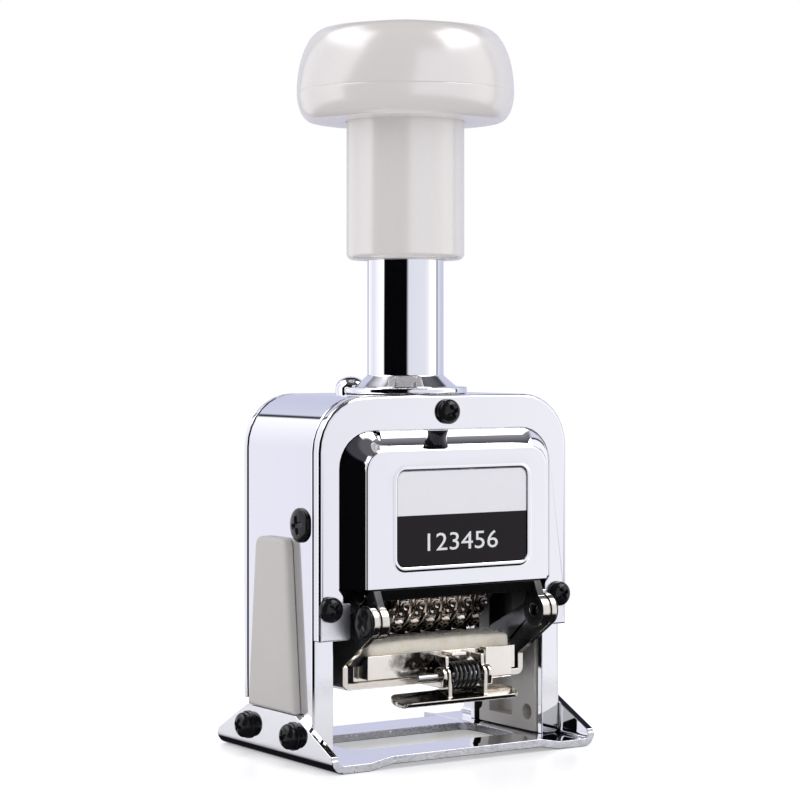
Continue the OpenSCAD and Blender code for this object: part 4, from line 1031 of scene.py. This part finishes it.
def makeFibreTree():
    tree, start, end = newTree("feltFibres", Fibre="Object", Density="Float", Seed="Int", Material="Material")
    spread = addNode(tree, "GeometryNodeDistributePointsOnFaces", {
        "Mesh": start["Geometry"], "Density": start["Density"], "Seed": start["Seed"]})
    lean = addNode(tree, "FunctionNodeRandomValue", {
        "Min": (-1.25, -1.25, -3.14), "Max": (1.25, 1.25, 3.14), "Seed": start["Seed"]},
        data_type="FLOAT_VECTOR")
    size = addNode(tree, "FunctionNodeRandomValue", {2: 0.4, 3: 1.0, "Seed": start["Seed"]},
                   data_type="FLOAT")
    fibre = addNode(tree, "GeometryNodeObjectInfo", {"Object": start["Fibre"]})
    both = {"Rotation": spread.outputs["Rotation"], "Rotate By": lean.outputs["Value"]}
    rotate = addNode(tree, "FunctionNodeRotateRotation", both, rotation_space="LOCAL")
    put = addNode(tree, "GeometryNodeInstanceOnPoints", {
        "Points": spread.outputs["Points"], "Instance": fibre.outputs["Geometry"],
        "Rotation": rotate.outputs["Rotation"], "Scale": size.outputs[1]})
    return closeTree(tree, start, end, put.outputs["Instances"], True)


def makeFibre():
    bm = bmesh.new()
    rows = []
    for i in range(5):
        t = i / 4
        at = Vector((0.35 * t * t, 0.12 * math.sin(5 * t), t)) * feltForm["fibreLong"]
        thin = 0.022 * (1 - 0.6 * t)
        rows.append([bm.verts.new(at + Vector((thin * math.cos(a), thin * math.sin(a), 0)))
                     for a in (0, 2.1, 4.2)])
    bridge(bm, rows)
    bm.faces.new(rows[0][::-1])
    bm.faces.new(rows[-1])
    mesh = toMesh(bm, "fibre")
    smoothFaces(mesh)
    return stand("fibre", mesh, [])


def makeFelt():
    f = feltForm
    bm = bmesh.new()
    cube = bmesh.ops.create_cube(bm, size=1)["verts"]
    for v in cube:
        v.co.x *= 2 * f["half"]
        v.co.y = f["front"] if v.co.y < 0 else f["back"]
        v.co.z = f["low"] if v.co.z < 0 else f["top"]
    bmesh.ops.bevel(bm, geom=bm.edges[:], offset=f["corner"], segments=4, profile=0.6, affect="EDGES")
    for _ in range(4):
        longOnes = [e for e in bm.edges if e.calc_length() > 0.9]
        if longOnes:
            bmesh.ops.subdivide_edges(bm, edges=longOnes, cuts=1, use_grid_fill=True)
    bmesh.ops.triangulate(bm, faces=[face for face in bm.faces if len(face.verts) > 4])
    bm.normal_update()
    for v in bm.verts:
        lump = noise.noise(v.co * 0.45) * 0.7 + noise.noise(v.co * 1.6) * 0.3
        v.co += v.normal * f["lump"] * lump
        if v.co.z > f["top"] - 2.5:
            off = 1 - ((v.co.x / f["half"]) ** 2)
            v.co.z -= f["crown"] * (1 - off) * (v.co.z - f["top"] + 2.5) / 2.5
        v.co.x = max(-f["half"], min(f["half"], v.co.x))
        v.co.y = max(f["front"], min(f["back"], v.co.y))
        v.co.z = max(f["low"], min(f["top"] + 0.05, v.co.z))
    mesh = toMesh(bm, "feltPad")
    smoothFaces(mesh)
    obj = stand("feltPad", mesh, [])
    fibre = makeFibre()
    runTree(obj, makeFibreTree(), {"Fibre": fibre, "Density": f["fibres"] / f["skin"], "Seed": 7,
                                   "Material": makeFeltFinish()})
    bpy.data.objects.remove(fibre)
    mount(obj, "pad_carrier", "felt", "felt_pad")


makeFelt()
print("felt pad made")


# Floor, world and camera

cameraForm = {"place": (-0.3057, -0.4598, 0.09233), "aim": (0.5537, 0.8328, 0.0), "lens": 108.4,
              "shiftX": -0.0068, "shiftY": -0.0731}
floorForm = {"r": 0.34, "tone": 0.92, "lift": 0.36, "fadeFrom": 0.09, "fadeTo": 0.16,
             "rimFrom": 0.17, "rimTo": 0.33, "steepFrom": 0.30, "steepTo": 0.42, "rough": 0.22,
             "specular": 0.12}
studio = {"turn": 123.6, "slant": 0.58, "leanFrom": -20, "leanTo": 40, "leanTop": 34.0,
          "roof": (0.12, 0.12, 0.13), "pit": (0.008, 0.008, 0.010), "plain": (0.95, 0.95, 0.97),
          "skyStart": 32.0, "skyFull": 40.0, "roofStart": 56.0, "roofFull": 68.0,
          "pitStart": -26.0, "pitFull": -18.0}


def makeFloor():
    f = floorForm
    mesh = latheMesh("floor", [(0, 0), (f["r"] / mm, 0), (f["r"] / mm, -2), (0, -2)], 96)
    mat, tree, shader = newMaterial("floorWhite")
    path = addNode(tree, "ShaderNodeLightPath").outputs
    far = vectorNode(tree, "LENGTH", placeOf(tree))["Value"]
    way = addNode(tree, "ShaderNodeNewGeometry").outputs["Incoming"]
    view = addNode(tree, "ShaderNodeSeparateXYZ", {0: way})
    fade = rangeNode(tree, far, f["fadeFrom"], f["fadeTo"], smooth=True)
    steep = rangeNode(tree, view.outputs["Z"], f["steepFrom"], f["steepTo"], smooth=True)
    rim = rangeNode(tree, far, f["rimFrom"], f["rimTo"], smooth=True)
    shiny = mathNode(tree, "MULTIPLY", mathNode(tree, "MAXIMUM", fade, steep), path["Is Glossy Ray"])
    gone = mathNode(tree, "MAXIMUM", shiny, rim)
    feed(tree, shader, {"Base Color": (f["tone"], f["tone"], f["tone"], 1), "Roughness": f["rough"],
                        "Specular IOR Level": f["specular"], "Emission Color": (1, 1, 1, 1),
                        "Emission Strength": mathNode(tree, "MULTIPLY", path["Is Camera Ray"], f["lift"]),
                        "Alpha": mathNode(tree, "SUBTRACT", 1.0, gone)})
    stand("floor", mesh, [mat])


# The studio as metal sees it, by the angle round from the camera's side (left is minus) and by height
lowBands = [(-180, (0.62, 0.64, 0.80)), (-156, (0.70, 0.72, 0.86)), (-153.5, (0.03, 0.03, 0.05)),
            (-151, (0.03, 0.03, 0.05)), (-149, (1.15, 1.15, 1.2)), (-112, (0.86, 0.86, 0.96)),
            (-96, (1.05, 1.05, 1.1)), (-70, (1.25, 1.25, 1.25)), (-67, (0.002, 0.002, 0.003)),
            (3, (0.002, 0.002, 0.003)), (10, (0.80, 0.82, 0.90)), (54, (0.84, 0.85, 0.93)),
            (60, (0.84, 0.845, 0.92)), (74, (0.98, 0.98, 1.02)), (78, (1.15, 1.15, 1.18)),
            (107, (1.15, 1.15, 1.18)), (109, (0.02, 0.02, 0.03)), (112, (0.02, 0.02, 0.03)),
            (114.5, (0.80, 0.82, 0.92)), (140, (0.62, 0.64, 0.80)), (180, (0.62, 0.64, 0.80))]
highBands = [(-180, (0.01, 0.01, 0.012)), (-150, (0.02, 0.02, 0.03)), (-134, (0.9, 0.9, 0.95)),
             (-128, (3.0, 3.0, 3.1)), (-56, (3.0, 3.0, 3.1)), (-50, (0.06, 0.06, 0.07)),
             (50, (0.05, 0.05, 0.06)), (56, (4.2, 4.2, 4.2)), (110, (4.2, 4.2, 4.2)), (116, (0.3, 0.3, 0.33)),
             (150, (0.02, 0.02, 0.03)), (180, (0.01, 0.01, 0.012))]


def bandStops(bands):
    return [((a + 180) / 360, c) for a, c in bands]


def makeWorld():
    world = bpy.data.worlds.new("studio")
    scene.world = world
    world.use_nodes = True
    tree = world.node_tree
    tree.nodes.clear()
    sky = addNode(tree, "ShaderNodeBackground")
    addNode(tree, "ShaderNodeOutputWorld", {0: sky.outputs[0]})
    way = addNode(tree, "ShaderNodeTexCoord").outputs["Generated"]
    spin = addNode(tree, "ShaderNodeVectorRotate", {"Vector": way, "Angle": math.radians(studio["turn"])},
                   rotation_type="Z_AXIS")
    parts = addNode(tree, "ShaderNodeSeparateXYZ", {0: spin.outputs[0]}).outputs
    degrees = mathNode(tree, "MULTIPLY", mathNode(tree, "ARCTAN2", parts["Y"], parts["X"]), 180 / math.pi)
    height = mathNode(tree, "MULTIPLY", mathNode(tree, "ARCSINE", parts["Z"]), 180 / math.pi)
    up = mathNode(tree, "MINIMUM", mathNode(tree, "MAXIMUM", height, 0.0), studio["leanTop"])
    lean = rangeNode(tree, degrees, studio["leanFrom"], studio["leanTo"], studio["slant"], 0)
    leaned = mathNode(tree, "SUBTRACT", degrees, mathNode(tree, "MULTIPLY", up, lean))
    low, high = (rampNode(tree, mathNode(tree, "MULTIPLY_ADD", around, 1 / 360, 0.5), bandStops(bands))
                 for around, bands in ((leaned, lowBands), (degrees, highBands)))
    rise, over, under = (rangeNode(tree, height, studio[key + "Start"], studio[key + "Full"], smooth=True)
                         for key in ("sky", "roof", "pit"))
    color = mixNode(tree, over, mixNode(tree, rise, low, high), studio["roof"])
    color = mixNode(tree, under, studio["pit"], color)
    path = addNode(tree, "ShaderNodeLightPath").outputs
    shiny = mathNode(tree, "MAXIMUM", path["Is Glossy Ray"], path["Is Transmission Ray"])
    color = mixNode(tree, shiny, studio["plain"], color)  # soft even light for what isn't a mirror
    color = mixNode(tree, path["Is Camera Ray"], color, (1, 1, 1))
    feed(tree, sky, {"Color": color, "Strength": 1.0})


def makeCamera():
    c = cameraForm
    data = bpy.data.cameras.new("camera")
    data.lens = c["lens"]
    data.sensor_width = 36
    data.shift_x = c["shiftX"]
    data.shift_y = c["shiftY"]
    data.clip_start = 0.01
    camera = bpy.data.objects.new("camera", data)
    scene.collection.objects.link(camera)
    camera.location = c["place"]
    camera.rotation_euler = Vector(c["aim"]).to_track_quat("-Z", "Y").to_euler()
    scene.camera = camera


makeFloor()
makeWorld()
makeCamera()
scene.view_settings.view_transform = "Standard"
print("floor, world and camera made")
